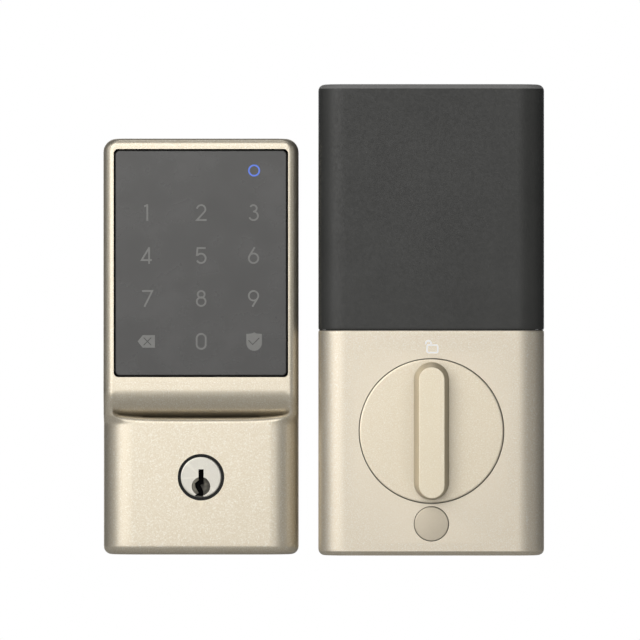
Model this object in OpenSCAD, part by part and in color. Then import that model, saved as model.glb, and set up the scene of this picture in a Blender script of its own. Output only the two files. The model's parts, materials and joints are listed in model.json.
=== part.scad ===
// Keypad smart lock: an outside unit with a touch keypad and a key cylinder, and an
// inside unit with a thumbturn, a motor drive and a battery bay. The two units stand
// side by side with their door faces in one plane. Millimetres, +Z up, fronts to -Y.
// The origin is on the key cylinder's axis, in the plane of the door face.

/* [Keypad unit] */
// Width of the keypad unit
kp_w = 72; // [68:0.5:84]
// Height of the keypad unit
kp_h = 153.5; // [152:0.5:175]
// Depth of the block behind the glass
kp_d = 24; // [23:0.5:30]
// Depth of the lower face around the key
kp_low_d = 21.5; // [20.5:0.5:22.5]
// Corner radius at the top of the keypad unit
kp_top_r = 5; // [3:0.5:8]
// Corner radius at the bottom of the keypad unit
kp_bottom_r = 3; // [2:0.5:5]
// Roll of the side edges beside the glass
kp_roll = 3; // [1:0.1:4]
// Width of the side roll on the lower face
kp_low_roll_w = 10.5; // [5:0.5:12]
// Depth of the side roll on the lower face
kp_low_roll_d = 7.4; // [4:0.2:8]
// Roll of the bottom edge
kp_foot_roll = 3.4; // [2:0.2:5]
// Roll of the top edge
kp_top_roll = 2.2; // [1:0.1:3]
// Wall of the keypad housing
kp_wall = 2.5; // [1.8:0.1:3]

/* [Scoop under the glass] */
// Height of the ledge at the bottom of the scoop, from the bottom of the unit
scoop_ledge_z = 50.6; // [49:0.2:52]
// Radius of the roll that leads into the scoop
scoop_r = 10.8; // [9:0.2:12]
// How far the roll dips under the ledge's level
scoop_dip = 0.3; // [0.1:0.1:1]
// Width of the side ridges beside the scoop
scoop_margin = 3.4; // [2.5:0.1:5]
// Rise of the ledge towards its ends
scoop_rise = 4; // [2:0.1:5]
// Height of the lip under the ledge
lip_h = 2; // [1:0.1:4]

/* [Glass] */
// Bezel around the glass
bezel_w = 4; // [3.5:0.1:6]
// Height of the glass
glass_h = 83.8; // [78:0.2:84]
// Corner radius of the glass
glass_r = 1.7; // [1:0.1:4]
// Thickness of the glass
glass_t = 2; // [1.5:0.1:2.5]
// How deep the glass sits under the bezel
glass_drop = 0.2; // [0:0.05:0.4]
// Gap around the glass
glass_gap = 0.45; // [0.3:0.05:0.8]
// Width of the ledge that carries the glass
ledge_w = 2; // [1.5:0.1:3]
// Thickness of the ledge that carries the glass
ledge_t = 1.6; // [1.2:0.1:2.5]
// Thickness of the glass gasket
gasket_t = 0.4; // [0.2:0.05:0.8]
// Thickness of the numeral film
film_t = 0.3; // [0.1:0.05:0.4]
// Thickness of the light guide
guide_t = 5.4; // [4:0.1:6]
// Spacing of the numeral columns
key_col = 19.8; // [17:0.1:20]
// Spacing of the numeral rows
key_row = 15.8; // [15:0.1:17]
// Radius of the status ring
ring_r = 2.2; // [1.5:0.1:3]

/* [Key cylinder] */
// Height of the key cylinder's axis, from the bottom of the unit
key_z = 28.6; // [28:0.1:30]
// Radius of the plug's head
head_r = 7.5; // [7:0.1:8.5]
// Radius of the plug's shank
plug_r = 6.35; // [6:0.05:6.5]
// Width of the dark seal ring around the plug's head
seal_w = 1.1; // [0.8:0.1:2]
// Outside radius of the cylinder body
barrel_r = 10.5; // [10:0.1:11]
// How far the cylinder body stands into the door
barrel_out = 10; // [8:0.5:14]
// Height of the pin stack above the cylinder's axis
bible_h = 16.5; // [16:0.1:18]
// Number of pin stacks
pin_count = 5; // [3:1:5]
// Spacing of the pin stacks
pin_pitch = 3.8; // [3.4:0.1:4]
// Radius of a pin
pin_r = 1.4; // [1.2:0.05:1.5]
// Running clearance of the plug in the cylinder body
run_gap = 0.05; // [0.03:0.01:0.08]
// Width of the keyway
keyway_w = 1.7; // [1.2:0.1:2]
// Length of the tailpiece behind the plug
tail_len = 46; // [30:1:70]
// Width of the tailpiece
tail_w = 8; // [6:0.5:9]
// Thickness of the tailpiece
tail_t = 2; // [1.5:0.1:2.5]

/* [Door mounting] */
// Spacing of the two through bolts
bolt_spacing = 38; // [36:0.5:42]
// Radius of a threaded post
post_r = 4.5; // [4:0.1:5]
// Length of the posts behind the door face
post_len = 14; // [10:1:18]
// Radius of the tapped hole in a post
tap_r = 2.1; // [1.6:0.1:2.6]
// Radius of the bolt holes in the mounting plate
bolt_hole_r = 2.75; // [2.2:0.05:3.2]
// Thickness of the keypad's back plate
back_t = 1.6; // [1.2:0.1:2]
// Thickness of the door gasket
seal_t = 1.2; // [0.8:0.1:1.6]
// Thickness of the mounting plate
plate_t = 2; // [1.5:0.1:3]
// Radius of the cable hole in the gland
cable_r = 2.6; // [2.1:0.1:3]

/* [Inside unit] */
// Width of the inside unit
in_w = 83.1; // [82:0.1:92]
// Height of the inside unit
in_h = 173.3; // [172:0.1:190]
// Depth of the inside unit
in_d = 34; // [33.5:0.1:38]
// Corner radius of the inside unit
in_r = 2.4; // [1:0.1:4]
// Width of the side edges' roll
in_roll_w = 10; // [5:0.5:13]
// Depth of the side edges' roll
in_roll_d = 7; // [4:0.5:9]
// Bevel of the top and bottom edges
in_bevel = 1.3; // [0.6:0.1:2]
// Wall of the inside unit's shells
in_wall = 2.4; // [2:0.1:2.6]
// Height of the parting line between housing and battery cover
part_z = 82.9; // [82.5:0.1:84]
// Gap at the parting line
part_gap = 0.3; // [0.2:0.05:0.5]
// Free space between the two units
unit_gap = 7.3; // [4:0.1:20]

/* [Thumbturn] */
// Height of the thumbturn's axis
turn_z = 45.8; // [45.4:0.1:47]
// Radius of the thumbturn's disc
disc_r = 26.5; // [25:0.1:27]
// Thickness of the disc
disc_t = 4; // [3.5:0.1:4.5]
// Gap around the disc
disc_gap = 0.3; // [0.2:0.05:0.5]
// Width of the grip at the disc
grip_w = 13; // [10:0.5:16]
// Length of the grip at the disc
grip_len = 50.6; // [44:0.2:51]
// Height of the grip above the disc
grip_h = 12; // [9:0.5:16]
// Bevel of the grip's sides
grip_bevel = 1.6; // [0.8:0.1:2.5]
// Radius of the thumbturn's hub
hub_r = 9; // [8.5:0.1:9.5]
// Radius of the socket for the tailpiece
socket_r = 4.5; // [4.4:0.1:5.5]

/* [Button] */
// Radius of the button
btn_r = 6.3; // [5:0.1:6.8]
// Height of the button's axis
btn_z = 11.7; // [11.5:0.1:12]
// Gap around the button
btn_gap = 0.2; // [0.15:0.05:0.3]
// Travel of the button
btn_travel = 1; // [0.5:0.1:1.2]

/* [Gear train] */
// Module of the output stage
out_m = 0.8; // [0.75:0.01:0.82]
// Teeth of the output gear
out_teeth = 40; // [38:1:41]
// Teeth of the idler's small gear
small_teeth = 12; // [11:1:13]
// Module of the motor stage
mot_m = 0.6; // [0.55:0.01:0.65]
// Teeth of the idler's large gear
large_teeth = 30; // [28:1:31]
// Teeth of the motor pinion
pinion_teeth = 10; // [9:1:11]
// Play between meshing teeth
backlash = 0.16; // [0.1:0.02:0.3]
// Radius of the motor
motor_r = 6; // [5:0.1:6.1]
// Length of the motor
motor_len = 17; // [14:0.5:17.5]

/* [Batteries] */
// Number of cells
cell_count = 4; // [2:1:4]
// Radius of a cell
cell_r = 7.25; // [6.5:0.05:7.4]
// Length of a cell without its cap
cell_len = 49.5; // [44:0.5:52]
// Spacing of the cells
cell_pitch = 15.6; // [15.2:0.1:16.4]

/* [Hidden] */
$fn = 64;
eps = 0.01;
fit = 0.3;
arc_n = 8;
pressure_angle = 20;
addendum = 0.9;
dedendum = 1.2;
degrees = 180 / PI;
through = 60;
nickel = "#e8dcc4";
steel = "#a9abad";
brass = "#c9a85a";
black = "#232323";

// Keypad unit, in its own frame: x from the centre line, z from the bottom
glass_w = kp_w - 2 * bezel_w;
glass_z = kp_h - bezel_w - glass_h;
glass_front = -kp_d + glass_drop;
glass_back = glass_front + glass_t;
ledge_front = glass_back + gasket_t;
ledge_back = ledge_front + ledge_t;
window_w = glass_w - 2 * ledge_w;
window_h = glass_h - 2 * ledge_w;
window_z = glass_z + ledge_w;
roll_z = scoop_ledge_z + scoop_r - scoop_dip;
roll_y = -kp_d + scoop_r;
shoulder_z = scoop_ledge_z - 1.2;
ledge_bend = 3.5;
cav_w = kp_w - 2 * kp_wall;
board_w = cav_w - 2 * fit;
board_front = glass_back + film_t + guide_t;
board_t = 1.6;
board_back = board_front + board_t;
shield_w = 24;
shield_z = window_z + 30;
plug_w = 16;
buzzer_r = 6;
boss_r = 2.6;
screw_r = 1.25;
screw_head_r = 2.2;
small_head_r = 1.9;
small_screw_r = 0.9;
touch_screw_r = 0.8;
touch_boss_r = 1.7;
touch_head_r = 1.4;
clear = 0.15;
corner_x = cav_w / 2 - boss_r;
top_boss_z = kp_h - kp_wall - boss_r;
mid_boss_z = scoop_ledge_z + boss_r + 4;
foot_boss_z = kp_wall + boss_r + 2;
boss_heights = [top_boss_z, mid_boss_z, foot_boss_z];
touch_screw_x = cav_w / 2 - touch_boss_r;
touch_screw_z = [window_z + 12, window_z + window_h - 14];
board_bottom = window_z - 2;
board_top = top_boss_z - boss_r - fit;
ring_z = kp_h - 11.8;
back_y = -seal_t;
back_front = back_y - back_t;
seal_w2 = 2.4;
rim_y = -0.5;
flange_t = 2.5;
flange_r = barrel_r + 3;
flange_screw_at = barrel_r + 1.6;
flange_screw_turns = [45, 225];
barrel_front = -kp_low_d + kp_wall + 1.8;
head_len = 4;
plug_end = barrel_out + 3;
dimple_r = 3.4;
bible_w = 6.8;
seal_r = head_r + seal_w;
gland_r = cable_r + 2.2;
gland_z = key_z - barrel_r - gland_r - 4;
bore_step = barrel_front + head_len - 1;
pin_y0 = bore_step + pin_r + 1.6;
retainer_y = [barrel_out + 0.5, barrel_out + 1.7];
tail_root = plug_end - 5;
key_top = sqrt(pow(plug_r, 2) - pow(pin_r, 2)) - 0.02;
driver_z = plug_r + run_gap + 0.05;
driver_len = 3.6;
spring_top = bible_h - 1.6;

// Inside unit, in its own frame
in_x = kp_w / 2 + unit_gap + in_w / 2;
in_cav_w = in_w - 2 * in_wall;
chassis_t = 2;
chassis_back = -plate_t - 0.2;
chassis_front = chassis_back - chassis_t;
chassis_w = in_cav_w - 2 * fit;
cover_z = part_z + part_gap / 2;
disc_front = -in_d;
disc_back = disc_front + disc_t;
dish_floor = disc_back + fit;
dish_t = 2;
dish_back = dish_floor + dish_t;
dish_r = disc_r + disc_gap;
dish_wall = 2;
hub_front_r = 11;
hub_screw_at = 6.6;
neck_r = 12;
cable_way_w = 16;
cable_way_r = 3;
cable_way_z = [turn_z + 20, turn_z + 30];
board_z0 = in_wall + 2;
main_half = in_cav_w / 2 - 4;
main_step_z = turn_z + 16;
main_top = part_z - 5;
main_narrow = main_half - 5;
cable_socket_x = [24, 34];
cable_socket_z = [board_z0 + 12, board_z0 + 20];
cable_socket_h = 6;
thin = 1;
main_front = dish_back + 1.8;
main_t = 1.6;
mot_plane = chassis_front - 1;
large_w = 3;
out_plane = mot_plane - large_w - 1.2;
out_w = 4;
gear_cover_back = out_plane - out_w - 1.2;
gear_cover_t = 2;
gear_cover_front = gear_cover_back - gear_cover_t;
gear_cover_w = 2 * (hub_r + 21);
gear_cover_z = [turn_z - 20, part_z - 4];
gear_cover_r = 5;
gear_cover_step = turn_z + 22;
stage1 = out_m * (out_teeth + small_teeth) / 2;
stage2 = mot_m * (large_teeth + pinion_teeth) / 2;
idler_angle = 40;
motor_angle = 84;
idler_x = stage1 * cos(idler_angle);
idler_z = turn_z + stage1 * sin(idler_angle);
motor_x = idler_x + stage2 * cos(motor_angle);
motor_z = idler_z + stage2 * sin(motor_angle);
axle_r = 1.5;
motor_back = mot_plane - large_w - 1;
tray_w = cell_count * cell_pitch + 4;
tray_h = cell_len + 16;
tray_share = 0.355;
tray_z = part_z + (in_h - in_wall - part_z - tray_h) * tray_share;
tray_front = -in_d + in_wall + 5.6;
plate_top = in_h - in_wall - 5.5;
plate_screw_x = 20;
sunk = 1.2;
plate_screw_z = [in_wall + 14, plate_top - 4.5];
cell_y = tray_front + cell_r + 0.9;
cell_z = tray_z + (tray_h - cell_len) / 2;
btn_flange_r = btn_r + 1;
btn_wall_back = -in_d + in_wall;
switch_h = 2.2;
coil_wide = 5;
coil_narrow = 2.6;
spring_r = 5.2;
switch_top = main_front - switch_h;
boss_x = in_cav_w / 2 - 4;
low_boss_z = in_wall + 5;
high_boss_z = part_z - 6;
housing_boss_r = 3;
boss_front = -in_d + 6.3;
housing_bosses = [low_boss_z, high_boss_z];
gearbox_posts = [[-hub_r - 7, turn_z + 15], [hub_r + 10, turn_z - 14], [-hub_r - 7, turn_z - 14]];
post_w = 3;
board_screw_x = in_cav_w / 2 - 10;
board_screw_z = [board_z0 + 4];
// turns that set a tooth of one gear in a gap of the next
idler_small_turn = idler_angle + 180 + 180 / small_teeth;
pinion_turn = motor_angle + 180 + 180 / pinion_teeth;

// Points along an elliptic arc
function arc(x, y, rx, ry, a0, a1) =
    [for (i = [0:arc_n]) let (a = a0 + (a1 - a0) * i / arc_n) [x + rx * cos(a), y + ry * sin(a)]];

// Front view of a unit: a box on z = z0 with its own radius at the top and at the bottom
function front_points(w, z0, z1, r_top, r_bottom) = concat(
    arc(w / 2 - r_bottom, z0 + r_bottom, r_bottom, r_bottom, -90, 0),
    arc(w / 2 - r_top, z1 - r_top, r_top, r_top, 0, 90),
    arc(r_top - w / 2, z1 - r_top, r_top, r_top, 90, 180),
    arc(r_bottom - w / 2, z0 + r_bottom, r_bottom, r_bottom, 180, 270));

// Plan of a unit: open at the door, with its front edges rolled over
function plan_points(w, d, roll_w, roll_d) = concat(
    [[-w / 2, 0]],
    arc(roll_w - w / 2, roll_d - d, roll_w, roll_d, 180, 270),
    arc(w / 2 - roll_w, roll_d - d, roll_w, roll_d, 270, 360),
    [[w / 2, 0]]);

// Outline of a spur gear with straight-sided teeth thinned by the play
function tooth_angle(r, half, r0) = half + (r0 - r) * tan(pressure_angle) / r0 * degrees;
function gear_points(m, teeth) =
    let (rp = m * teeth / 2, ra = rp + addendum * m, rf = rp - dedendum * m,
        half = 90 / teeth - backlash / rp * degrees / 2)
    [for (i = [0:teeth - 1], p = [[rf, -1], [rp, -1], [ra, -1], [ra, 1], [rp, 1], [rf, 1]])
        let (a = 360 * i / teeth + p[1] * tooth_angle(p[0], half, rp))
        [p[0] * cos(a), p[0] * sin(a)]];

// Extrudes a drawing in x and z from y0 back to y1
module slab(y0, y1) translate([0, y1, 0]) rotate([90, 0, 0])
    linear_extrude(y1 - y0) children();
// Extrudes a drawing in x and y from z0 up to z1
module storey(z0, z1) translate([0, 0, z0]) linear_extrude(z1 - z0) children();
// Extrudes a drawing in y and z across the unit
module across(w) translate([-w / 2, 0, 0]) rotate([90, 0, 90]) linear_extrude(w) children();
// Round bar along y at x, z
module bar(x, z, r, y0, y1) translate([x, y1, z]) rotate([90, 0, 0]) cylinder(r = r, h = y1 - y0);
// Flat box given by its two corners
module block(a, b) translate(a) cube([b[0] - a[0], b[1] - a[1], b[2] - a[2]]);
module inside_unit() translate([in_x, 0, -key_z]) children();
module keypad_unit() translate([0, 0, -key_z]) children();

// --- Keypad unit -------------------------------------------------------------------

// Upper block behind the glass: its lower edge rolls back to the lower face
module upper_block() intersection() {
    storey(0, kp_h) polygon(plan_points(kp_w, kp_d, kp_roll, kp_roll));
    across(kp_w) polygon(concat(
        [[0, kp_h], [0, shoulder_z]],
        arc(-kp_low_d, roll_z, kp_d - kp_low_d, roll_z - shoulder_z, 270, 180),
        arc(kp_top_roll - kp_d, kp_h - kp_top_roll, kp_top_roll, kp_top_roll, 180, 90)));
}

// Lower part around the key: wide side rolls, a rolled foot and a rounded lip
module lower_block() intersection() {
    storey(0, kp_h) polygon(plan_points(kp_w, kp_low_d, kp_low_roll_w, kp_low_roll_d));
    across(kp_w) polygon(concat(
        [[0, scoop_ledge_z], [0, 0]],
        arc(kp_foot_roll - kp_low_d, kp_foot_roll, kp_foot_roll, kp_foot_roll, 270, 180),
        arc(lip_h - kp_low_d, scoop_ledge_z - lip_h, lip_h, lip_h, 180, 90)));
}

// What the scoop takes away: its ledge rises towards the ends, its roof is a round roll
function ledge_points(half) = [for (i = [-16:16])
    let (u = i / 16, bend = pow(1 - pow(abs(u), ledge_bend), 1 / ledge_bend))
    [half * u, scoop_ledge_z + scoop_rise * (1 - bend)]];
module scoop() {
    half = kp_w / 2 - scoop_margin;
    difference() {
        slab(-kp_d - 1, roll_y) polygon(concat(ledge_points(half), [[half, roll_z], [-half, roll_z]]));
        translate([-kp_w / 2, roll_y, roll_z]) rotate([0, 90, 0]) cylinder(r = scoop_r, h = kp_w);
    }
}

module keypad_housing() color(nickel) keypad_unit() {
    scoop_back = roll_y - scoop_r * 0.26 + kp_wall;
    difference() {
        intersection() {
            slab(-kp_d, 0) polygon(front_points(kp_w, 0, kp_h, kp_top_r, kp_bottom_r));
            union() {
                lower_block();
                difference() {
                    upper_block();
                    scoop();
                }
            }
        }
        block([-kp_w, back_y, -1], [kp_w, 1, kp_h + 1]);
        // room inside, in front of the back plate
        storey(kp_wall, scoop_ledge_z - kp_wall) polygon(plan_points(cav_w, kp_low_d - kp_wall,
            kp_low_roll_w, kp_low_roll_d));
        block([-cav_w / 2, scoop_back, scoop_ledge_z - kp_wall - eps], [cav_w / 2, 1, roll_z]);
        block([-cav_w / 2, ledge_back, roll_z - eps], [cav_w / 2, 1, kp_h - kp_wall]);
        block([-cav_w / 2, board_front - fit, min(board_bottom - fit, roll_z) - eps],
            [cav_w / 2, 1, roll_z]);
        // seat and window of the glass
        slab(-kp_d - 1, ledge_front)
            polygon(front_points(glass_w, glass_z, glass_z + glass_h, glass_r, glass_r));
        slab(-kp_d - 1, 1) polygon(front_points(window_w, window_z, window_z + window_h, 1, 1));
        bar(0, key_z, seal_r, -kp_low_d - 1, 0);
    }
    // screw bosses
    difference() {
        union() {
            for (s = [-1, 1], z = boss_heights) bar(s * corner_x, z, boss_r,
                z == top_boss_z ? ledge_back - eps : z == mid_boss_z ? scoop_back - eps
                : -kp_low_d + kp_low_roll_d, back_front);
            for (s = [-1, 1], z = touch_screw_z)
                bar(s * touch_screw_x, z, touch_boss_r, ledge_back - eps, board_front);
        }
        for (s = [-1, 1], z = boss_heights)
            bar(s * corner_x, z, screw_r, back_front - 5, 1);
        for (s = [-1, 1], z = touch_screw_z)
            bar(s * touch_screw_x, z, touch_screw_r, board_front - 3, 1);
    }
}

module touch_glass() color("#5f5f5d") keypad_unit() slab(glass_front, glass_back)
    polygon(front_points(glass_w - 2 * glass_gap, glass_z + glass_gap, glass_z + glass_h - glass_gap,
        glass_r, glass_r));

module glass_gasket() color(black) keypad_unit() slab(glass_back, ledge_front) difference() {
    polygon(front_points(glass_w - 0.2, glass_z + 0.1, glass_z + glass_h - 0.1, glass_r, glass_r));
    polygon(front_points(window_w, window_z, window_z + window_h, 1, 1));
}

// Column and row of the twelve lit places
module key_places() for (c = [-1:1], r = [0:3])
    translate([c * key_col, 0, window_z + 10.7 + r * key_row]) children();

module numeral_film() color("#3a3a3a") keypad_unit() difference() {
    slab(glass_back, glass_back + film_t)
        polygon(front_points(window_w - 0.4, window_z + 0.2, window_z + window_h - 0.2, 1, 1));
    bar(key_col, ring_z, ring_r + 0.1, glass_back - 1, glass_back + 1);
}

module light_guide() color("#e9ecef") keypad_unit() difference() {
    slab(glass_back + film_t, board_front)
        polygon(front_points(window_w - 0.6, window_z + 0.3, board_top - 0.3, 1, 1));
    key_places() bar(0, 0, 3.6, glass_back + film_t + 1, board_front + 1);
    bar(key_col, ring_z, ring_r + 0.1, glass_back, board_front + 1);
}

module status_ring() color("#5878dc") keypad_unit() difference() {
    bar(key_col, ring_z, ring_r, glass_back, board_front);
    bar(key_col, ring_z, ring_r - 0.6, glass_back - 1, board_front - 2);
}

module touch_board() color("#1f5a3c") keypad_unit() {
    difference() {
        block([-board_w / 2, board_front, board_bottom], [board_w / 2, board_front + board_t, board_top]);
        for (s = [-1, 1], z = touch_screw_z)
            bar(s * touch_screw_x, z, touch_screw_r + clear, board_front - 1, board_front + board_t + 1);
    }
    // shielded processor, cable socket and buzzer on the back of the board
    block([-shield_w / 2 - 2, board_back - eps, shield_z],
        [shield_w / 2 - 2, board_back + 2.4, shield_z + 26]);
    block([-plug_w / 2, board_back - eps, window_z + 2], [plug_w / 2, board_back + 4.5, window_z + 9]);
    bar(board_w / 4, window_z + 18, buzzer_r, board_back - eps, board_back + 3);
}

module touch_board_screws() color(steel) keypad_unit()
    for (s = [-1, 1], z = touch_screw_z) {
        bar(s * touch_screw_x, z, touch_screw_r, board_front - 2.5, board_front + board_t + eps);
        bar(s * touch_screw_x, z, touch_head_r, board_front + board_t, board_front + board_t + 1);
    }

module keypad_back_plate() color(steel) keypad_unit() difference() {
    slab(back_front, back_y) polygon(front_points(cav_w - 2 * fit, kp_wall + fit, kp_h - kp_wall - fit,
        2.2, 1));
    bar(0, key_z, barrel_r + fit, -through, through);
    block([-bible_w / 2 - fit, -through, key_z], [bible_w / 2 + fit, 1, key_z + bible_h + 1.2]);
    bar(0, gland_z, gland_r - 1, -through, through);
    for (s = [-1, 1]) bar(s * bolt_spacing / 2, key_z, post_r - 1.5, -through, through);
    for (a = flange_screw_turns)
        bar(flange_screw_at * cos(a), key_z + flange_screw_at * sin(a), small_screw_r + clear,
            -through, through);
    for (s = [-1, 1], z = boss_heights) bar(s * corner_x, z, screw_r + clear, -through, through);
}

module back_plate_screws() color(steel) keypad_unit()
    for (s = [-1, 1], z = boss_heights) {
        bar(s * corner_x, z, screw_r, back_front - 4.5, back_y + eps);
        bar(s * corner_x, z, screw_head_r - 0.1, back_y, back_y + 0.9);
    }

module mounting_posts() color(brass) keypad_unit() for (s = [-1, 1]) difference() {
    union() {
        bar(s * bolt_spacing / 2, key_z, post_r, back_y, post_len);
        bar(s * bolt_spacing / 2, key_z, post_r - 1.5, back_front - eps, back_y + eps);
        bar(s * bolt_spacing / 2, key_z, post_r - 0.9, back_front - 1, back_front);
    }
    bar(s * bolt_spacing / 2, key_z, tap_r, back_y + 0.6, post_len + 1);
}

module door_gasket() color(black) keypad_unit() slab(back_y, 0) difference() {
    inset = 0.4;
    polygon(front_points(kp_w - 2 * inset, inset, kp_h - inset, kp_top_r - inset, kp_bottom_r - inset));
    polygon(front_points(kp_w - 2 * inset - 2 * seal_w2, inset + seal_w2, kp_h - inset - seal_w2, 1, 1));
}

module cable_gland() color(black) keypad_unit() difference() {
    union() {
        bar(0, gland_z, gland_r, back_y, back_y + 2);
        bar(0, gland_z, gland_r - 1, back_front - eps, back_y + eps);
        bar(0, gland_z, gland_r, back_front - 2, back_front);
    }
    bar(0, gland_z, cable_r, back_front - 3, 3);
}

// --- Key cylinder, drawn about its own axis ------------------------------------------

// Axis positions of the pin stacks
function pin_y(i) = pin_y0 + i * pin_pitch;
module upright(y, r, z0, z1) translate([0, y, z0]) cylinder(r = r, h = z1 - z0);

module cylinder_body() color(steel) difference() {
    union() {
        bar(0, 0, barrel_r, barrel_front, barrel_out);
        bar(0, 0, flange_r, back_front - flange_t, back_front);
        block([-bible_w / 2, barrel_front, 0], [bible_w / 2, barrel_out, bible_h]);
    }
    bar(0, 0, plug_r + run_gap, barrel_front - 1, barrel_out + 1);
    bar(0, 0, head_r + run_gap, barrel_front - 1, bore_step);
    for (i = [0:pin_count - 1])
        upright(pin_y(i), pin_r + run_gap, 0, bible_h + 1);
    for (a = flange_screw_turns) bar(flange_screw_at * cos(a), flange_screw_at * sin(a), 0.95,
        back_front - flange_t - 1, 1);
}

module cylinder_screws() color(steel) for (a = flange_screw_turns) {
    bar(flange_screw_at * cos(a), flange_screw_at * sin(a), 0.9, back_front - 2, back_y + eps);
    bar(flange_screw_at * cos(a), flange_screw_at * sin(a), 1.5, back_y, back_y + 1);
}

module cylinder_seal() color(black) difference() {
    union() {
        bar(0, 0, seal_r - 0.05, -kp_low_d + 0.6, barrel_front);
        bar(0, 0, barrel_r, -kp_low_d + kp_wall, barrel_front);
    }
    bar(0, 0, head_r + run_gap, -kp_low_d - 1, 0);
}

module keyway_cut(y0, y1) {
    block([-keyway_w / 2, y0, -plug_r + 1.3], [keyway_w / 2, y1, 3.1]);
    block([-keyway_w / 2 - 1, y0, -3.4], [0, y1, -1.8]);
}

module cylinder_plug() color(nickel) difference() {
    union() {
        bar(0, 0, head_r, -kp_low_d, bore_step - run_gap);
        bar(0, 0, plug_r, bore_step - 0.2, plug_end);
    }
    bar(0, -dimple_r - 0.1, dimple_r, -kp_low_d - 1, -kp_low_d + 0.6);
    keyway_cut(-kp_low_d - 1, back_front);
    for (i = [0:pin_count - 1])
        upright(pin_y(i), pin_r + run_gap, 0.8, plug_r + 1);
    // groove of the retainer and slot of the tailpiece
    difference() {
        bar(0, 0, plug_r + 1, retainer_y[0], retainer_y[1]);
        bar(0, 0, plug_r - 1.2, barrel_out, barrel_out + 2);
    }
    block([-tail_w, tail_root, -tail_t / 2 - run_gap], [tail_w, plug_end + 1, tail_t / 2 + run_gap]);
}

module key_pins() color(brass) for (i = [0:pin_count - 1])
    upright(pin_y(i), pin_r, 1.2 + 0.5 * (i % 3), key_top);

module driver_pins() color(steel) for (i = [0:pin_count - 1])
    upright(pin_y(i), pin_r, driver_z, driver_z + driver_len);

module pin_springs() color(brass) for (i = [0:pin_count - 1])
    difference() {
        upright(pin_y(i), pin_r - 0.1, driver_z + driver_len, spring_top);
        upright(pin_y(i), pin_r - 0.5, driver_z + driver_len - 1, spring_top + 1);
    }

module pin_chamber_cap() color(brass) {
    for (i = [0:pin_count - 1])
        upright(pin_y(i), pin_r, spring_top, bible_h + eps);
    block([-3, barrel_front + 0.5, bible_h], [3, barrel_out - 0.5, bible_h + 0.8]);
}

module plug_retainer() color(steel) difference() {
    bar(0, 0, plug_r + 1.6, retainer_y[0] + run_gap, retainer_y[1] - run_gap);
    bar(0, 0, plug_r - 1.15, 0, barrel_out + 3);
    block([-2.4, 0, 0], [2.4, barrel_out + 3, barrel_r]);
}

module tailpiece() color(steel) block([-tail_w / 2, tail_root + 0.1, -tail_t / 2],
    [tail_w / 2, plug_end + tail_len, tail_t / 2]);

// --- Inside unit ---------------------------------------------------------------------

// Outer form of the inside unit between two heights, drawn in by a wall t
module inside_form(t, z0, z1) intersection() {
    slab(-in_d, 0) polygon(front_points(in_w - 2 * t, t, in_h - t, max(in_r - t, 0.6), max(in_r - t, 0.6)));
    storey(z0, z1) polygon(plan_points(in_w - 2 * t, in_d - t, in_roll_w - t * in_roll_w / in_roll_d,
        in_roll_d - t));
    across(in_w) polygon([[0, t], [0, in_h - t], [in_bevel + t - in_d, in_h - t],
        [t - in_d, in_h - t - in_bevel], [t - in_d, t + in_bevel], [in_bevel + t - in_d, t]]);
}

module mounting_plate() color(steel) inside_unit() difference() {
    slab(-plate_t, 0) polygon(front_points(in_cav_w - 14, in_wall + 8, plate_top, 6, 6));
    bar(0, turn_z, neck_r + 1, -through, through);
    for (s = [-1, 1]) bar(s * bolt_spacing / 2, turn_z, bolt_hole_r, -through, through);
    // way for the cable, above the spindle
    slab(-through, through) polygon(front_points(cable_way_w, cable_way_z[0], cable_way_z[1],
        cable_way_r, cable_way_r));
    for (s = [-1, 1], z = plate_screw_z) bar(s * plate_screw_x, z, screw_r, -through, through);
}

// What is drilled into the chassis and its posts
module chassis_holes() {
    bar(0, turn_z, neck_r, -through, 0);
    for (s = [-1, 1]) bar(s * bolt_spacing / 2, turn_z, 5.2, -through, 0);
    slab(-through, 0) polygon(front_points(cable_way_w - 2 * thin, cable_way_z[0] + thin,
        cable_way_z[1] - thin, cable_way_r - thin, cable_way_r - thin));
    for (p = gearbox_posts) bar(p[0], p[1], 1, gear_cover_back - 1, gear_cover_back + 6);
    bar(idler_x, idler_z, axle_r, gear_cover_back, chassis_back - 0.2);
    for (s = [-1, 1], z = board_screw_z)
        bar(s * board_screw_x, z, small_screw_r, main_front, main_front + main_t + 6);
    for (s = [-1, 1], z = housing_bosses) bar(s * boss_x, z, screw_r + clear, -through, 0);
    for (s = [-1, 1], z = plate_screw_z) {
        bar(s * plate_screw_x, z, screw_r, -through, 0);
        bar(s * plate_screw_x, z, screw_head_r, chassis_front - 1, chassis_front + sunk);
    }
}

module chassis() color(black) inside_unit() difference() {
    slab(chassis_front, chassis_back)
        polygon(front_points(chassis_w, in_wall + fit, in_h - in_wall - fit - 1, 2, 2));
    chassis_holes();
}

// Posts of the gearbox cover, the idler's axle and the main board
module chassis_posts() color(black) inside_unit() difference() {
    union() {
        for (p = gearbox_posts) bar(p[0], p[1], post_w, gear_cover_back, chassis_front);
        bar(idler_x, idler_z, post_w, mot_plane + fit, chassis_front);
        for (s = [-1, 1], z = board_screw_z)
            bar(s * board_screw_x, z, boss_r, main_front + main_t, chassis_front);
    }
    chassis_holes();
}

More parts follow.
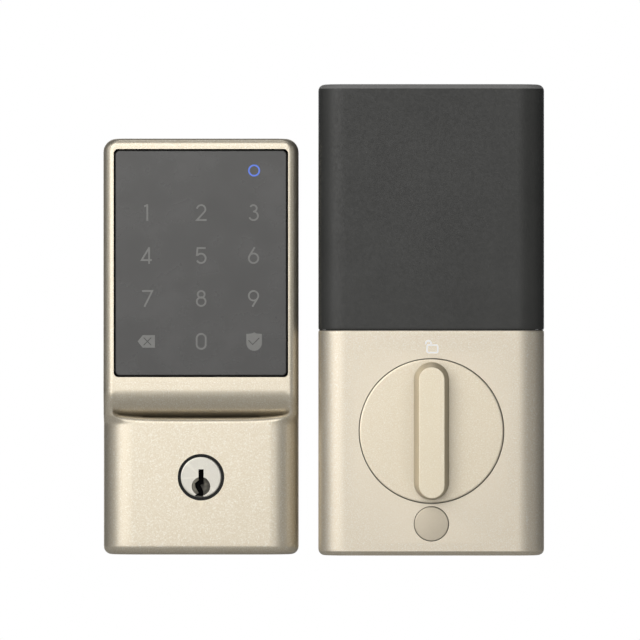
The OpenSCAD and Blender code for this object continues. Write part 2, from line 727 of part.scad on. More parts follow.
module lower_housing() color(nickel) inside_unit() difference() {
    union() {
        difference() {
            inside_form(0, 0, part_z - part_gap / 2);
            inside_form(in_wall, in_wall, in_h);
            block([-in_w, rim_y, -1], [in_w, 1, in_h]);
        }
        // dish of the thumbturn
        bar(0, turn_z, dish_r + dish_wall, -in_d + in_wall - eps, dish_back);
        // screw bosses behind the side walls, collar of the button
        for (s = [-1, 1], z = housing_bosses) 
            bar(s * boss_x, z, housing_boss_r, boss_front, chassis_front);
        for (s = [-1, 1], z = housing_bosses)
            block([s * (boss_x + 2) - 2, boss_front, z - 1.5],
                [s * (boss_x + 2) + 2, chassis_front, z + 1.5]);
    }
    bar(0, turn_z, dish_r, -in_d - 1, dish_floor);
    bar(0, turn_z, neck_r, -in_d, 0);
    bar(0, btn_z, btn_r + btn_gap, -in_d - 1, -in_d + in_wall + 1);
    bar(0, btn_z, btn_flange_r + btn_gap, btn_wall_back, 0);
    for (s = [-1, 1], z = housing_bosses) bar(s * boss_x, z, screw_r, -14, 0);
}

module housing_screws() color(steel) inside_unit() {
    for (s = [-1, 1], z = housing_bosses) {
        bar(s * boss_x, z, screw_r, -12, chassis_back + eps);
        bar(s * boss_x, z, screw_head_r, chassis_back, chassis_back + 1);
    }
    for (s = [-1, 1], z = plate_screw_z) {
        bar(s * plate_screw_x, z, screw_r, chassis_front + sunk - eps, 0);
        bar(s * plate_screw_x, z, screw_head_r, chassis_front, chassis_front + sunk);
    }
}

module battery_cover() color(black) inside_unit() difference() {
    inside_form(0, cover_z, in_h);
    inside_form(in_wall, 0, in_h);
    block([-in_w, rim_y, -1], [in_w, 1, in_h + 1]);
}

module battery_tray() color("#303030") inside_unit() difference() {
    block([-tray_w / 2, tray_front, tray_z], [tray_w / 2, chassis_front, tray_z + tray_h]);
    for (i = [0:cell_count - 1]) {
        translate([cell_x(i), cell_y, tray_z + 2]) cylinder(r = cell_r + 0.3, h = tray_h - 4);
        block([cell_x(i) - cell_r + 1.2, tray_front - 1, tray_z + 2], [cell_x(i) + cell_r - 1.2, cell_y,
            tray_z + tray_h - 2]);
    }
}
function cell_x(i) = (i - (cell_count - 1) / 2) * cell_pitch;
function cell_up(i) = i % 2 == 0;

module battery_cells() color("#6b6f73") inside_unit() for (i = [0:cell_count - 1])
    translate([cell_x(i), cell_y, cell_z]) {
        cylinder(r = cell_r, h = cell_len);
        if (cell_up(i)) translate([0, 0, cell_len]) cylinder(r = 2.7, h = 1.1);
        else translate([0, 0, -1.1]) cylinder(r = 2.7, h = 1.1);
    }

// Plates in both ends of the tray
module battery_contacts() color(steel) inside_unit() for (i = [0:cell_count - 1], top = [0, 1]) {
    z = top == 1 ? tray_z + tray_h - 2.5 : tray_z + 2;
    block([cell_x(i) - 5, cell_y - 4.5, z], [cell_x(i) + 5, cell_y + 4.5, z + 0.5]);
    if ((top == 1) == cell_up(i))
        translate([cell_x(i), cell_y, top == 1 ? cell_z + cell_len + 1.1 : z + 0.5])
        cylinder(r = 2.4, h = (tray_h - cell_len) / 2 - 3.6);
}

module battery_springs() color(steel) inside_unit() for (i = [0:cell_count - 1])
    translate([cell_x(i), cell_y, cell_up(i) ? tray_z + 2.5 : cell_z + cell_len]) {
        gap = (tray_h - cell_len) / 2 - 2.5;
        if (cell_up(i)) cylinder(r1 = coil_wide, r2 = coil_narrow, h = gap);
        else cylinder(r1 = coil_narrow, r2 = coil_wide, h = gap);
    }

module main_board() color("#1f5a3c") inside_unit() difference() {
    union() {
        block([-main_half, main_front, board_z0], [main_half, main_front + main_t, main_step_z]);
        block([-main_narrow, main_front, main_step_z - thin], [0, main_front + main_t, main_top]);
        // relay, processor and radio module
        block([-30, main_front + main_t, turn_z + 14], [-14, main_front + main_t + 5, turn_z + 30]);
        block([-32, main_front + main_t, board_z0 + 12], [-20, main_front + main_t + 1.6, board_z0 + 24]);
    }
    bar(0, turn_z, hub_front_r + 4, -in_d, 0);
    for (s = [-1, 1]) block([min(s * (boss_x - 3.4), s * in_w), -in_d, 0],
        [max(s * (boss_x - 3.4), s * in_w), 0, low_boss_z + 3.4]);
    for (s = [-1, 1], z = board_screw_z) bar(s * board_screw_x, z, small_screw_r + clear, -in_d, 0);
    bar(motor_x, motor_z, motor_r + 1, -in_d, 0);
}

module main_board_screws() color(steel) inside_unit() for (s = [-1, 1], z = board_screw_z) {
    bar(s * board_screw_x, z, small_screw_r, main_front - eps, main_front + main_t + 5);
    bar(s * board_screw_x, z, small_head_r, main_front - 1, main_front);
}

module cable_socket() color("#e8e4d8") inside_unit() difference() {
    block([cable_socket_x[0], main_front + main_t, cable_socket_z[0]],
        [cable_socket_x[1], main_front + main_t + cable_socket_h, cable_socket_z[1]]);
    block([cable_socket_x[0] + thin, main_front + main_t + thin, cable_socket_z[0] + thin],
        [cable_socket_x[1] - thin, main_front + main_t + cable_socket_h + thin, cable_socket_z[1] - thin]);
}

module button_switch() color("#8a8d90") inside_unit() {
    block([-3, switch_top + 0.8, btn_z - 3], [3, main_front, btn_z + 3]);
    bar(0, btn_z, 1.5, switch_top, switch_top + 0.9);
}

// --- Gear train ----------------------------------------------------------------------

module drive_motor() color(steel) inside_unit() {
    bar(motor_x, motor_z, motor_r, motor_back - motor_len, motor_back);
    bar(motor_x, motor_z, 2.4, motor_back - eps, motor_back + 0.7);
    bar(motor_x, motor_z, 2.4, motor_back - motor_len - 1, motor_back - motor_len + eps);
}

module motor_pinion() color(brass) inside_unit() translate([motor_x, 0, motor_z]) {
    slab(mot_plane - large_w + 0.1, mot_plane - 0.1)
        rotate(pinion_turn) polygon(gear_points(mot_m, pinion_teeth));
    bar(0, 0, 1, motor_back + 0.9, mot_plane);
}

module idler_gear() color(brass) inside_unit() translate([idler_x, 0, idler_z]) difference() {
    union() {
        slab(mot_plane - large_w, mot_plane) rotate(motor_angle) polygon(gear_points(mot_m, large_teeth));
        slab(out_plane - out_w, mot_plane - large_w + eps)
            rotate(idler_small_turn) polygon(gear_points(out_m, small_teeth));
    }
    bar(0, 0, axle_r + run_gap, -in_d, 0);
}

module idler_axle() color(steel) inside_unit()
    bar(idler_x, idler_z, axle_r, gear_cover_front, chassis_back - 0.2);

module output_gear() color(brass) inside_unit() translate([0, 0, turn_z]) difference() {
    slab(out_plane - out_w + fit, out_plane - fit)
        rotate(idler_angle) polygon(gear_points(out_m, out_teeth));
    bar(0, 0, hub_r, -in_d, 0);
}

module gearbox_cover() color("#303030") inside_unit() difference() {
    union() {
        slab(gear_cover_front, gear_cover_back) difference() {
            polygon(front_points(gear_cover_w, gear_cover_z[0], gear_cover_z[1], gear_cover_r,
                gear_cover_r));
            translate([motor_x - 13 - gear_cover_w, gear_cover_step]) square([gear_cover_w, part_z]);
        }
        bar(motor_x, motor_z, motor_r + 1.6, gear_cover_front - 3, gear_cover_back);
    }
    bar(motor_x, motor_z, motor_r + 0.05, -in_d, 0);
    bar(0, turn_z, hub_r + 2.5, -in_d, 0);
    bar(idler_x, idler_z, axle_r, -in_d, 0);
    for (p = gearbox_posts) bar(p[0], p[1], 1.1, -in_d, 0);
}

module gearbox_screws() color(steel) inside_unit() for (p = gearbox_posts) {
    bar(p[0], p[1], 1, gear_cover_front - eps, gear_cover_back + 5);
    bar(p[0], p[1], 1.9, gear_cover_front - 1, gear_cover_front);
}

module turn_bush() color("#d8d8d0") inside_unit() difference() {
    union() {
        bar(0, turn_z, hub_r + 2.5, gear_cover_front, gear_cover_back);
        bar(0, turn_z, hub_r + 3.5, gear_cover_front - 1, gear_cover_front);
    }
    bar(0, turn_z, hub_r + run_gap, -in_d, 0);
}

// Hub behind the disc: its rear end is the socket of the tailpiece
module spindle_hub() color(steel) inside_unit() difference() {
    bar(0, turn_z, hub_r, gear_cover_front - 1.6, chassis_back);
    bar(0, turn_z, socket_r, chassis_back - 8, 1);
    translate([0, 0, turn_z]) block([-tail_w / 2 - 0.2, chassis_back - 12, -tail_t / 2 - 0.2],
        [tail_w / 2 + 0.2, 1, tail_t / 2 + 0.2]);
    for (s = [-1, 1]) bar(s * hub_screw_at, turn_z, 0.8, -in_d, gear_cover_front + 4);
}

module thumbturn_disc() color(nickel) inside_unit() difference() {
    union() {
        bar(0, turn_z, disc_r, disc_front, disc_back);
        bar(0, turn_z, hub_front_r, disc_back - eps, gear_cover_front - 1.6);
    }
    for (s = [-1, 1]) bar(s * hub_screw_at, turn_z, 1, disc_back - 1, 0);
    for (s = [-1, 1]) bar(0, turn_z + s * hub_screw_at, 1.1, disc_front - 1, 0);
    for (s = [-1, 1]) bar(0, turn_z + s * hub_screw_at, 2.2, disc_back + 1, 0);
}

module thumbturn_grip() color(nickel) inside_unit() translate([0, 0, turn_z]) {
    half = grip_len / 2 - grip_w / 2;
    difference() {
        hull() for (s = [-1, 1]) {
            bar(0, s * half, grip_w / 2, disc_front - 2, disc_front);
            bar(0, s * half, grip_w / 2 - grip_bevel, disc_front - grip_h, disc_front - grip_h + 0.6);
        }
        for (s = [-1, 1]) bar(0, s * hub_screw_at, 0.9, disc_front - 6, disc_front + 1);
    }
}

module grip_screws() color(steel) inside_unit() for (s = [-1, 1]) {
    bar(0, turn_z + s * hub_screw_at, 0.9, disc_front - 5, disc_back + 1.5);
    bar(0, turn_z + s * hub_screw_at, 1.9, disc_back + 1, disc_back + 2.2);
    bar(s * hub_screw_at, turn_z, 0.8, disc_back + 1, gear_cover_front + 3);
}

// --- Button --------------------------------------------------------------------------

module set_button() color("#cfc3ae") inside_unit() {
    bar(0, btn_z, btn_r, -in_d - 0.2, btn_wall_back + btn_gap);
    bar(0, btn_z, btn_flange_r, btn_wall_back + 0.02, btn_wall_back + 1);
    bar(0, btn_z, 1.4, btn_wall_back + 1 - eps, switch_top - btn_travel - 0.1);
}

module button_spring() color(steel) inside_unit() difference() {
    bar(0, btn_z, spring_r, btn_wall_back + 1, main_front);
    bar(0, btn_z, spring_r - 0.6, -in_d, 0);
}

// --- The whole lock --------------------------------------------------------------------

keypad_housing();
touch_glass();
glass_gasket();
numeral_film();
light_guide();
status_ring();
touch_board();
touch_board_screws();
keypad_back_plate();
back_plate_screws();
mounting_posts();
door_gasket();
cable_gland();
cylinder_body();
cylinder_screws();
cylinder_seal();
cylinder_plug();
key_pins();
driver_pins();
pin_springs();
pin_chamber_cap();
plug_retainer();
tailpiece();
mounting_plate();
chassis();
chassis_posts();
lower_housing();
housing_screws();
battery_cover();
battery_tray();
battery_cells();
battery_springs();
battery_contacts();
main_board();
main_board_screws();
cable_socket();
drive_motor();
motor_pinion();
idler_gear();
idler_axle();
output_gear();
gearbox_cover();
gearbox_screws();
turn_bush();
spindle_hub();
thumbturn_disc();
thumbturn_grip();
grip_screws();
set_button();
button_spring();
button_switch();
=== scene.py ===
"""Keypad smart lock: outside unit with touch keypad and key cylinder, inside unit with
thumbturn, button and battery cover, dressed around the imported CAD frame."""
import json
import math

import bmesh
import bpy
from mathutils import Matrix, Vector


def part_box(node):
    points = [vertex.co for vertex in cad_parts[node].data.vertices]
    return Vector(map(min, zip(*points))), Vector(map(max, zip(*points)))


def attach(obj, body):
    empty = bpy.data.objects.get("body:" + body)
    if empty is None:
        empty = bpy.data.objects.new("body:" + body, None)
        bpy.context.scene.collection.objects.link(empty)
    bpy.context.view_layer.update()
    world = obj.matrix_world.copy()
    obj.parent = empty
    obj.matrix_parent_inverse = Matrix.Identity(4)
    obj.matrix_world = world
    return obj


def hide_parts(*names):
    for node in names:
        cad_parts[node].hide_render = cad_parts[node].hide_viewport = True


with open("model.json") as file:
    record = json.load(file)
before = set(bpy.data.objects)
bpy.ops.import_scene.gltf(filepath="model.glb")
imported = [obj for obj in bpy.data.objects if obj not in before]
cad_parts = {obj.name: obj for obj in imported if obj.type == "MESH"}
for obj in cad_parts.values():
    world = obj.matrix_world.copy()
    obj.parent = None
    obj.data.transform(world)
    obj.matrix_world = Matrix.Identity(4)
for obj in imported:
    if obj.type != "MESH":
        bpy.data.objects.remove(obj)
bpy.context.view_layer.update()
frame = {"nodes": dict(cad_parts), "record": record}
MM = 0.001


# --- Places and sizes, all from the frame --------------------------------------------

def node_box(name):
    """Lowest and highest corner of a CAD node, in millimetres."""
    low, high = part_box(name)
    return [c / MM for c in low], [c / MM for c in high]


def middle(low, high, axis):
    return (low[axis] + high[axis]) / 2


KP_LOW, KP_HIGH = node_box("keypad_housing")
GLASS_LOW, GLASS_HIGH = node_box("touch_glass")
PLUG_LOW, PLUG_HIGH = node_box("cylinder_plug")
SEAL_LOW, SEAL_HIGH = node_box("cylinder_seal")
CASE_LOW, CASE_HIGH = node_box("lower_housing")
COVER_LOW, COVER_HIGH = node_box("battery_cover")
DISC_LOW, DISC_HIGH = node_box("thumbturn_disc")
GRIP_LOW, GRIP_HIGH = node_box("thumbturn_grip")
BUTTON_LOW, BUTTON_HIGH = node_box("set_button")
KP_W = KP_HIGH[0] - KP_LOW[0]
KP_H = KP_HIGH[2] - KP_LOW[2]
KP_D = -KP_LOW[1]
KP_BACK = KP_HIGH[1]
KP_LOW_D = -PLUG_LOW[1]
KP_X = middle(KP_LOW, KP_HIGH, 0)
KEY_Z = middle(PLUG_LOW, PLUG_HIGH, 2)
CASE_X = middle(CASE_LOW, CASE_HIGH, 0)
CASE_W = CASE_HIGH[0] - CASE_LOW[0]
CASE_D = -CASE_LOW[1]
TURN_Z = middle(DISC_LOW, DISC_HIGH, 2)
BUTTON_Z = middle(BUTTON_LOW, BUTTON_HIGH, 2)
DISC_R = (DISC_HIGH[0] - DISC_LOW[0]) / 2

# Forms that the keypad housing shares with its solid
SCOOP_LEDGE = 50.6
SCOOP_R = 10.8
SCOOP_ROLL_Z = SCOOP_LEDGE + SCOOP_R - 0.3
SCOOP_HALF = 32.6
LIP_R = 2.0


# --- Materials -----------------------------------------------------------------------

def grey(value):
    return value, value, value


def shade(base, factor, lift=0.0):
    """A colour made darker or paler, up to white."""
    return tuple(min(c * factor + lift, 1) for c in base)


class Nodes:
    """A small builder for a material's node tree."""

    def __init__(self, name):
        self.material = bpy.data.materials.new(name)
        self.material.use_nodes = True
        self.tree = self.material.node_tree
        self.shader = self.tree.nodes["Principled BSDF"]
        self.coords = self.add("ShaderNodeTexCoord").outputs["Object"]

    def add(self, kind, **values):
        node = self.tree.nodes.new(kind)
        for key, value in values.items():
            setattr(node, key, value)
        return node

    def link(self, a, b):
        self.tree.links.new(a, b)

    def noise(self, scale, detail=3.0, rough=0.5, stretch=(1, 1, 1)):
        mapping = self.add("ShaderNodeMapping")
        mapping.inputs["Scale"].default_value = stretch
        self.link(self.coords, mapping.inputs["Vector"])
        tex = self.add("ShaderNodeTexNoise")
        tex.inputs["Scale"].default_value = scale
        tex.inputs["Detail"].default_value = detail
        tex.inputs["Roughness"].default_value = rough
        self.link(mapping.outputs["Vector"], tex.inputs["Vector"])
        return tex.outputs["Fac"]

    def ramp(self, source, *stops):
        ramp = self.add("ShaderNodeValToRGB")
        while len(ramp.color_ramp.elements) < len(stops):
            ramp.color_ramp.elements.new(0.5)
        for element, (place, colour) in zip(ramp.color_ramp.elements, stops):
            element.position = place
            element.color = (*colour, 1) if len(colour) == 3 else colour
        self.link(source, ramp.inputs["Fac"])
        return ramp.outputs["Color"]

    def mix(self, factor, a, b, blend="MIX"):
        node = self.add("ShaderNodeMix", data_type="RGBA", blend_type=blend)
        for socket, value in ((node.inputs[0], factor), (node.inputs[6], a), (node.inputs[7], b)):
            if isinstance(value, bpy.types.NodeSocket):
                self.link(value, socket)
            else:
                socket.default_value = (*value, 1) if isinstance(value, tuple) else value
        return node.outputs[2]

    def span(self, source, low, high, from_low=0.0, from_high=1.0):
        node = self.add("ShaderNodeMapRange")
        node.inputs["From Min"].default_value = from_low
        node.inputs["From Max"].default_value = from_high
        node.inputs["To Min"].default_value = low
        node.inputs["To Max"].default_value = high
        self.link(source, node.inputs["Value"])
        return node.outputs["Result"]

    def spread(self, noise, low=0.0, high=1.0):
        """Stretches a noise, which keeps near its middle, over a whole range."""
        return self.span(noise, low, high, 0.3, 0.7)

    def bump(self, height, strength, distance):
        node = self.add("ShaderNodeBump")
        node.inputs["Strength"].default_value = strength
        node.inputs["Distance"].default_value = distance
        self.link(height, node.inputs["Height"])
        self.feed("Normal", node.outputs["Normal"])

    def feed(self, socket, source):
        """Drives one input of the shader."""
        self.link(source, self.shader.inputs[socket])

    def edge_wear(self, colour, worn):
        """Lightens convex edges a little, as handling does."""
        geometry = self.add("ShaderNodeNewGeometry")
        mask = self.ramp(geometry.outputs["Pointiness"], (0.52, grey(0)), (0.60, grey(1)))
        return self.mix(mask, colour, worn)

    def crease(self, colour, shaded, reach=0.007):
        """Painted shade: darkens the colour of what lies deep in a crease, where light hardly
        reaches.
        """
        hollow = self.add("ShaderNodeAmbientOcclusion", samples=8)
        hollow.inputs["Distance"].default_value = reach
        mask = self.span(hollow.outputs["AO"], 1.0, 0.0, 0.2, 0.85)
        return self.mix(mask, colour, shaded)

    def painted_top_sheen(self, colour, sheen_colour):
        """Painted top light: a paler colour on what faces up."""
        axes = self.add("ShaderNodeSeparateXYZ")
        self.link(self.add("ShaderNodeNewGeometry").outputs["Normal"], axes.inputs[0])
        return self.mix(self.span(axes.outputs["Z"], 0, 1, 0.25, 0.75), colour, sheen_colour)

    def set(self, **values):
        for key, value in values.items():
            self.shader.inputs[key.replace("_", " ")].default_value = value
        return self


def nickel_finish(name, base, sparkle=0.8, roughness=0.40, metallic=0.88, grain=0.2,
                  reach=0.010, crease_shade=0.6):
    """Satin champagne nickel: soft colour drift, fine sparkle, faint sprayed grain, painted shade
    in creases.
    """
    n = Nodes(name)
    colour = n.mix(n.spread(n.noise(28, 2)), shade(base, 0.985), base)
    flakes = n.ramp(n.noise(2300, 1, 0.4), (0.28, grey(0.36)), (0.48, grey(0.5)),
                    (0.60, grey(0.62)), (0.74, grey(1)))
    colour = n.mix(sparkle, colour, flakes, "SOFT_LIGHT")
    colour = n.edge_wear(colour, shade(base, 1.08))
    # Painted shade: the colour darkens deep in creases.
    colour = n.crease(colour, shade(base, crease_shade), reach)
    n.feed("Base Color", colour)
    n.feed("Roughness", n.spread(n.noise(1500, 2), roughness - 0.02, roughness + 0.03))
    n.bump(n.noise(2600, 1, 0.5), grain, 0.00004)
    return n.set(Metallic=metallic).material


def turned_metal(name, base):
    """Turned or rolled metal with fine lines and small stains."""
    n = Nodes(name)
    lines = n.noise(700, 2, 0.6, stretch=(0.15, 1, 1))
    colour = n.mix(n.spread(lines), shade(base, 0.94), base)
    stains = n.ramp(n.noise(60, 3), (0.35, grey(0.76)), (0.6, grey(1)))
    colour = n.mix(0.35, colour, stains, "MULTIPLY")
    n.feed("Base Color", colour)
    n.feed("Roughness", n.spread(lines, 0.27, 0.36))
    n.bump(lines, 0.15, 0.00003)
    return n.set(Metallic=0.9).material


def moulded_plastic(name, base, roughness=0.5, grain=900, coat=0.0, top_sheen=None):
    """Moulded plastic or rubber: spark-eroded grain, slight colour drift, handled edges, and a
    painted top sheen when one is given.
    """
    n = Nodes(name)
    colour = n.mix(n.spread(n.noise(45, 2)), shade(base, 0.9), shade(base, 1.08, 0.002))
    colour = n.edge_wear(colour, shade(base, 1.3, 0.01))
    if top_sheen:
        colour = n.painted_top_sheen(colour, top_sheen)
    n.feed("Base Color", colour)
    texture = n.noise(grain, 3, 0.6)
    n.feed("Roughness", n.spread(texture, roughness - 0.06, roughness + 0.08))
    n.bump(texture, 0.25, 0.00004)
    return n.set(Coat_Weight=coat).material


def matt_paint(name, base, roughness=0.85, shine=0.5):
    """Plain matt paint: even, with a barely visible stipple."""
    n = Nodes(name)
    stipple = n.noise(400, 2)
    n.feed("Base Color", n.mix(n.spread(stipple), shade(base, 0.985), base))
    n.bump(stipple, 0.03, 0.00002)
    return n.set(Roughness=roughness, Specular_IOR_Level=shine).material


def dark_glass(name):
    """Dark grey back-painted glass: a slow fade, a soft gloss and faint smudges."""
    n = Nodes(name)
    axes = n.add("ShaderNodeSeparateXYZ")
    n.link(n.coords, axes.inputs[0])
    height = n.span(axes.outputs["Z"], 0, 1, GLASS_LOW[2] * MM, GLASS_HIGH[2] * MM)
    colour = n.mix(height, (0.058, 0.058, 0.057), (0.078, 0.078, 0.076))
    smudge = n.noise(70, 4, 0.6)
    colour = n.mix(n.span(smudge, 0, 0.08, 0.45, 0.75), colour, (0.13, 0.13, 0.125))
    n.feed("Base Color", colour)
    n.feed("Roughness", n.span(smudge, 0.24, 0.34, 0.35, 0.7))
    n.bump(n.noise(160, 2), 0.02, 0.00002)
    return n.set(Coat_Weight=0.15, Coat_Roughness=0.08, IOR=1.48).material


def lit(name, colour, strength, base):
    """A printed or lit mark with a little unevenness."""
    n = Nodes(name)
    n.feed("Base Color", n.mix(n.spread(n.noise(1200, 2)), shade(base, 0.93), base))
    n.set(Roughness=0.35, Emission_Strength=strength, Emission_Color=(*colour, 1))
    return n.material


def circuit_board(name):
    """Green solder mask with tracks and pads."""
    n = Nodes(name)
    tracks = n.add("ShaderNodeTexBrick")
    tracks.inputs["Scale"].default_value = 140
    tracks.inputs["Mortar Size"].default_value = 0.03
    n.link(n.coords, tracks.inputs["Vector"])
    colour = n.mix(tracks.outputs["Fac"], (0.02, 0.13, 0.06), (0.05, 0.22, 0.10))
    pads = n.ramp(n.noise(260, 1), (0.66, grey(0)), (0.69, grey(1)))
    colour = n.mix(pads, colour, (0.62, 0.52, 0.24))
    n.feed("Base Color", colour)
    n.bump(tracks.outputs["Fac"], 0.2, 0.00003)
    return n.set(Roughness=0.38).material


NICKEL = nickel_finish("satin_nickel", (0.81, 0.735, 0.595))
NICKEL_DISC = nickel_finish("satin_nickel_turn", (0.84, 0.755, 0.60), sparkle=0.6)
NICKEL_CASE = nickel_finish("satin_nickel_case", (0.87, 0.79, 0.65), roughness=0.46)
# A long crease reach and a dark crease colour paint shade onto the grip's walls.
NICKEL_GRIP = nickel_finish("satin_nickel_grip", (0.84, 0.755, 0.59), sparkle=0.6,
                            reach=0.05, crease_shade=0.2)
NICKEL_SMOOTH = nickel_finish("smooth_nickel", (0.66, 0.59, 0.47), sparkle=0.08, roughness=0.38,
                              metallic=0.7, grain=0.04)
PLUG = nickel_finish("plug_nickel", (0.66, 0.64, 0.575), sparkle=0.15, roughness=0.36,
                     grain=0.08)
STEEL = turned_metal("zinc_steel", (0.60, 0.61, 0.62))
BRASS = turned_metal("turned_brass", (0.72, 0.55, 0.28))
# The cover's top sheen paints the light that falls on its upper bevel.
BLACK = moulded_plastic("matt_black_cover", (0.044, 0.045, 0.043), roughness=0.42,
                        top_sheen=(0.30, 0.30, 0.295))
DARK = moulded_plastic("dark_moulding", (0.04, 0.04, 0.042), roughness=0.55)
RUBBER = moulded_plastic("soft_rubber", (0.018, 0.018, 0.018), roughness=0.75, grain=500)
WHITE = moulded_plastic("white_moulding", (0.78, 0.78, 0.76), roughness=0.45)
WRAP = moulded_plastic("cell_wrap", (0.25, 0.27, 0.29), roughness=0.3, coat=0.4)
BOARD = circuit_board("solder_mask")
GLASS = dark_glass("keypad_glass")
NUMERAL = lit("numeral_light", (0.5, 0.5, 0.49), 0.0, (0.30, 0.30, 0.29))
RING = lit("ring_light", (0.10, 0.20, 0.80), 0.35, (0.12, 0.22, 0.75))
# The printed lock mark is given a faint glow: painted light.
GLOWING_MARK = lit("glowing_white_mark", (1, 1, 1), 0.32, (0.95, 0.95, 0.94))
DEAD_BLACK = matt_paint("dead_black", (0.004, 0.004, 0.004), roughness=0.95, shine=0.08)

SLOT_LOOKS = {
    "nickel": NICKEL, "plug_metal": PLUG, "button_metal": NICKEL_SMOOTH, "glass": GLASS,
    "black_plastic": BLACK, "dark_plastic": DARK, "rubber": RUBBER, "light_plastic": WHITE,
    "ring_light": RING, "board": BOARD, "steel": STEEL, "brass": BRASS, "cell_wrap": WRAP,
}


def dress_cad_nodes():
    """Every CAD node gets the look of its material slot."""
    slots = {part["node"]: part["material_slot"] for part in frame["record"]["subparts"]}
    for name, obj in frame["nodes"].items():
        look = SLOT_LOOKS[slots[name]]
        obj.data.materials.clear()
        obj.data.materials.append(look)
        for face in obj.data.polygons:
            face.material_index = 0


dress_cad_nodes()


# --- Mesh helpers ----------------------------------------------------------------------

def new_object(name, data):
    obj = bpy.data.objects.new(name, data)
    bpy.context.scene.collection.objects.link(obj)
    return obj


def solid_mesh(name, verts, faces, weld=False):
    """A mesh from millimetre points, with its faces turned outwards."""
    mesh = bpy.data.meshes.new(name)
    mesh.from_pydata([Vector(v) * MM for v in verts], [], faces)
    bm = bmesh.new()
    bm.from_mesh(mesh)
    if weld:
        bmesh.ops.remove_doubles(bm, verts=bm.verts, dist=1e-7)
    bmesh.ops.recalc_face_normals(bm, faces=bm.faces)
    bm.to_mesh(mesh)
    bm.free()
    return mesh


def piece(name, verts, faces, look, slot, body="root", stands_for=(), sharp=35):
    """A finished piece from millimetre points; it rides on a body and may replace CAD nodes."""
    mesh = solid_mesh(name, verts, faces, weld=True)
    mesh.materials.append(look)
    obj = new_object(name, mesh)
    smooth(obj, sharp)
    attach(obj, body)
    if stands_for:
        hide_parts(*stands_for)
    return obj


def smooth(obj, angle):
    """Smooth shading, apart from edges that turn by more than the angle."""
    for face in obj.data.polygons:
        face.use_smooth = True
    obj.data.set_sharp_from_angle(angle=math.radians(angle))
    if not obj.modifiers:
        flat = obj.modifiers.new("even_normals", "WEIGHTED_NORMAL")
        flat.weight = 100
        flat.keep_sharp = True


def skin(rings, caps=True):
    """Points and faces of a form made of equal rings, with or without a cap at both ends."""
    n, last = len(rings[0]), len(rings) - 1
    verts = [v for ring in rings for v in ring]
    faces = [tuple(range(n)), tuple(range(last * n, last * n + n))] if caps else []
    for j in range(last):
        for i in range(n):
            a, b = j * n + i, j * n + (i + 1) % n
            faces.append((a, b, b + n, a + n))
    return verts, faces


def turned(profile, x, z, steps):
    """Rings about an axis along Y, for a profile of (radius, y)."""
    angles = [2 * math.pi * i / steps for i in range(steps)]
    return [[(x + r * math.cos(a), y, z + r * math.sin(a)) for a in angles] for r, y in profile]


def lathe(name, profile, x, z, look, slot, steps=96, **more):
    """Turned piece: its profile runs from the axis to the axis, or round a ring."""
    return piece(name, *skin(turned(profile, x, z, steps), caps=False), look, slot, **more)


def arc(cx, cy, rx, ry, a0, a1, n):
    """Points along an elliptic arc, angles in degrees."""
    return [(cx + rx * math.cos(math.radians(a0 + (a1 - a0) * i / n)),
             cy + ry * math.sin(math.radians(a0 + (a1 - a0) * i / n))) for i in range(n + 1)]


def rounded_outline(x0, z0, x1, z1, r, n=10):
    """Rounded rectangle in x and z, anticlockwise."""
    points = []
    corners = ((x1 - r, z0 + r, -90), (x1 - r, z1 - r, 0),
               (x0 + r, z1 - r, 90), (x0 + r, z0 + r, 180))
    for cx, cz, a in corners:
        points += arc(cx, cz, r, r, a, a + 90, n)
    return points


def stacked(name, rings, look, slot, **more):
    """Closed piece from equal rings of points."""
    return piece(name, *skin(rings), look, slot, **more)


def cut(obj, rings):
    """Takes the closed form given by rings out of a piece."""
    form = solid_mesh("cutter", *skin(rings))
    tool = new_object("cutter", form)
    obj.modifiers.clear()
    step = obj.modifiers.new("cut", "BOOLEAN")
    step.operation = "DIFFERENCE"
    step.solver = "EXACT"
    step.object = tool
    bpy.context.view_layer.update()
    depsgraph = bpy.context.evaluated_depsgraph_get()
    result = bpy.data.meshes.new_from_object(obj.evaluated_get(depsgraph))
    obj.modifiers.clear()
    obj.data = result
    bpy.data.objects.remove(tool)
    bpy.data.meshes.remove(form)


def prism(points, y0, y1):
    """Two rings that make a straight form along Y from points in x and z."""
    return [[(x, y, z) for x, z in points] for y in (y0, y1)]


def circle(x, z, r, n=96):
    return arc(x, z, r, r, 0, 360 - 360 / n, n - 1)


def moved(points, x, z):
    return [(x + px, z + pz) for px, pz in points]


def mix(a, b, t):
    return a + (b - a) * t


def ease(low, high, value):
    t = min(max((value - low) / (high - low), 0), 1)
    return t * t * (3 - 2 * t)


def quarter(distance, radius):
    """How far a round edge has come out, this far from its end."""
    if distance >= radius:
        return 0.0
    return radius - math.sqrt(max(radius ** 2 - (radius - distance) ** 2, 0))


def end_rows(radius):
    """Distances from a unit's end at which it has levels: fine, as the end is rounded."""
    return [radius * (1 - math.cos(math.pi / 2 * i / 10)) for i in range(11)]


SOFTNESS = 0.87


def rolled(t, softness=SOFTNESS):
    """A point of a rolled corner: under 1 it leaves the flat gently, over 1 it nears a bevel."""
    return math.cos(t) ** softness, math.sin(t) ** softness


def corner_turns(rolls):
    """Angles over a corner; the last stays just short of 90 degrees, to keep cosines positive."""
    return [min(math.pi / 2 * i / rolls, math.pi / 2 - 1e-9) for i in range(rolls + 1)]


def plan(half, depth, roll_w, roll_d, back, rolls=12):
    """One level of a unit seen from above: back edge, rolled corners, and the flat between."""
    right = []
    for t in corner_turns(rolls):
        along, out = rolled(t)
        right.append((half - roll_w + roll_w * along, -depth + roll_d - roll_d * out))
    right = [(half, back)] + right
    return [(-x, y) for x, y in right], right[::-1]


# --- Keypad housing --------------------------------------------------------------------

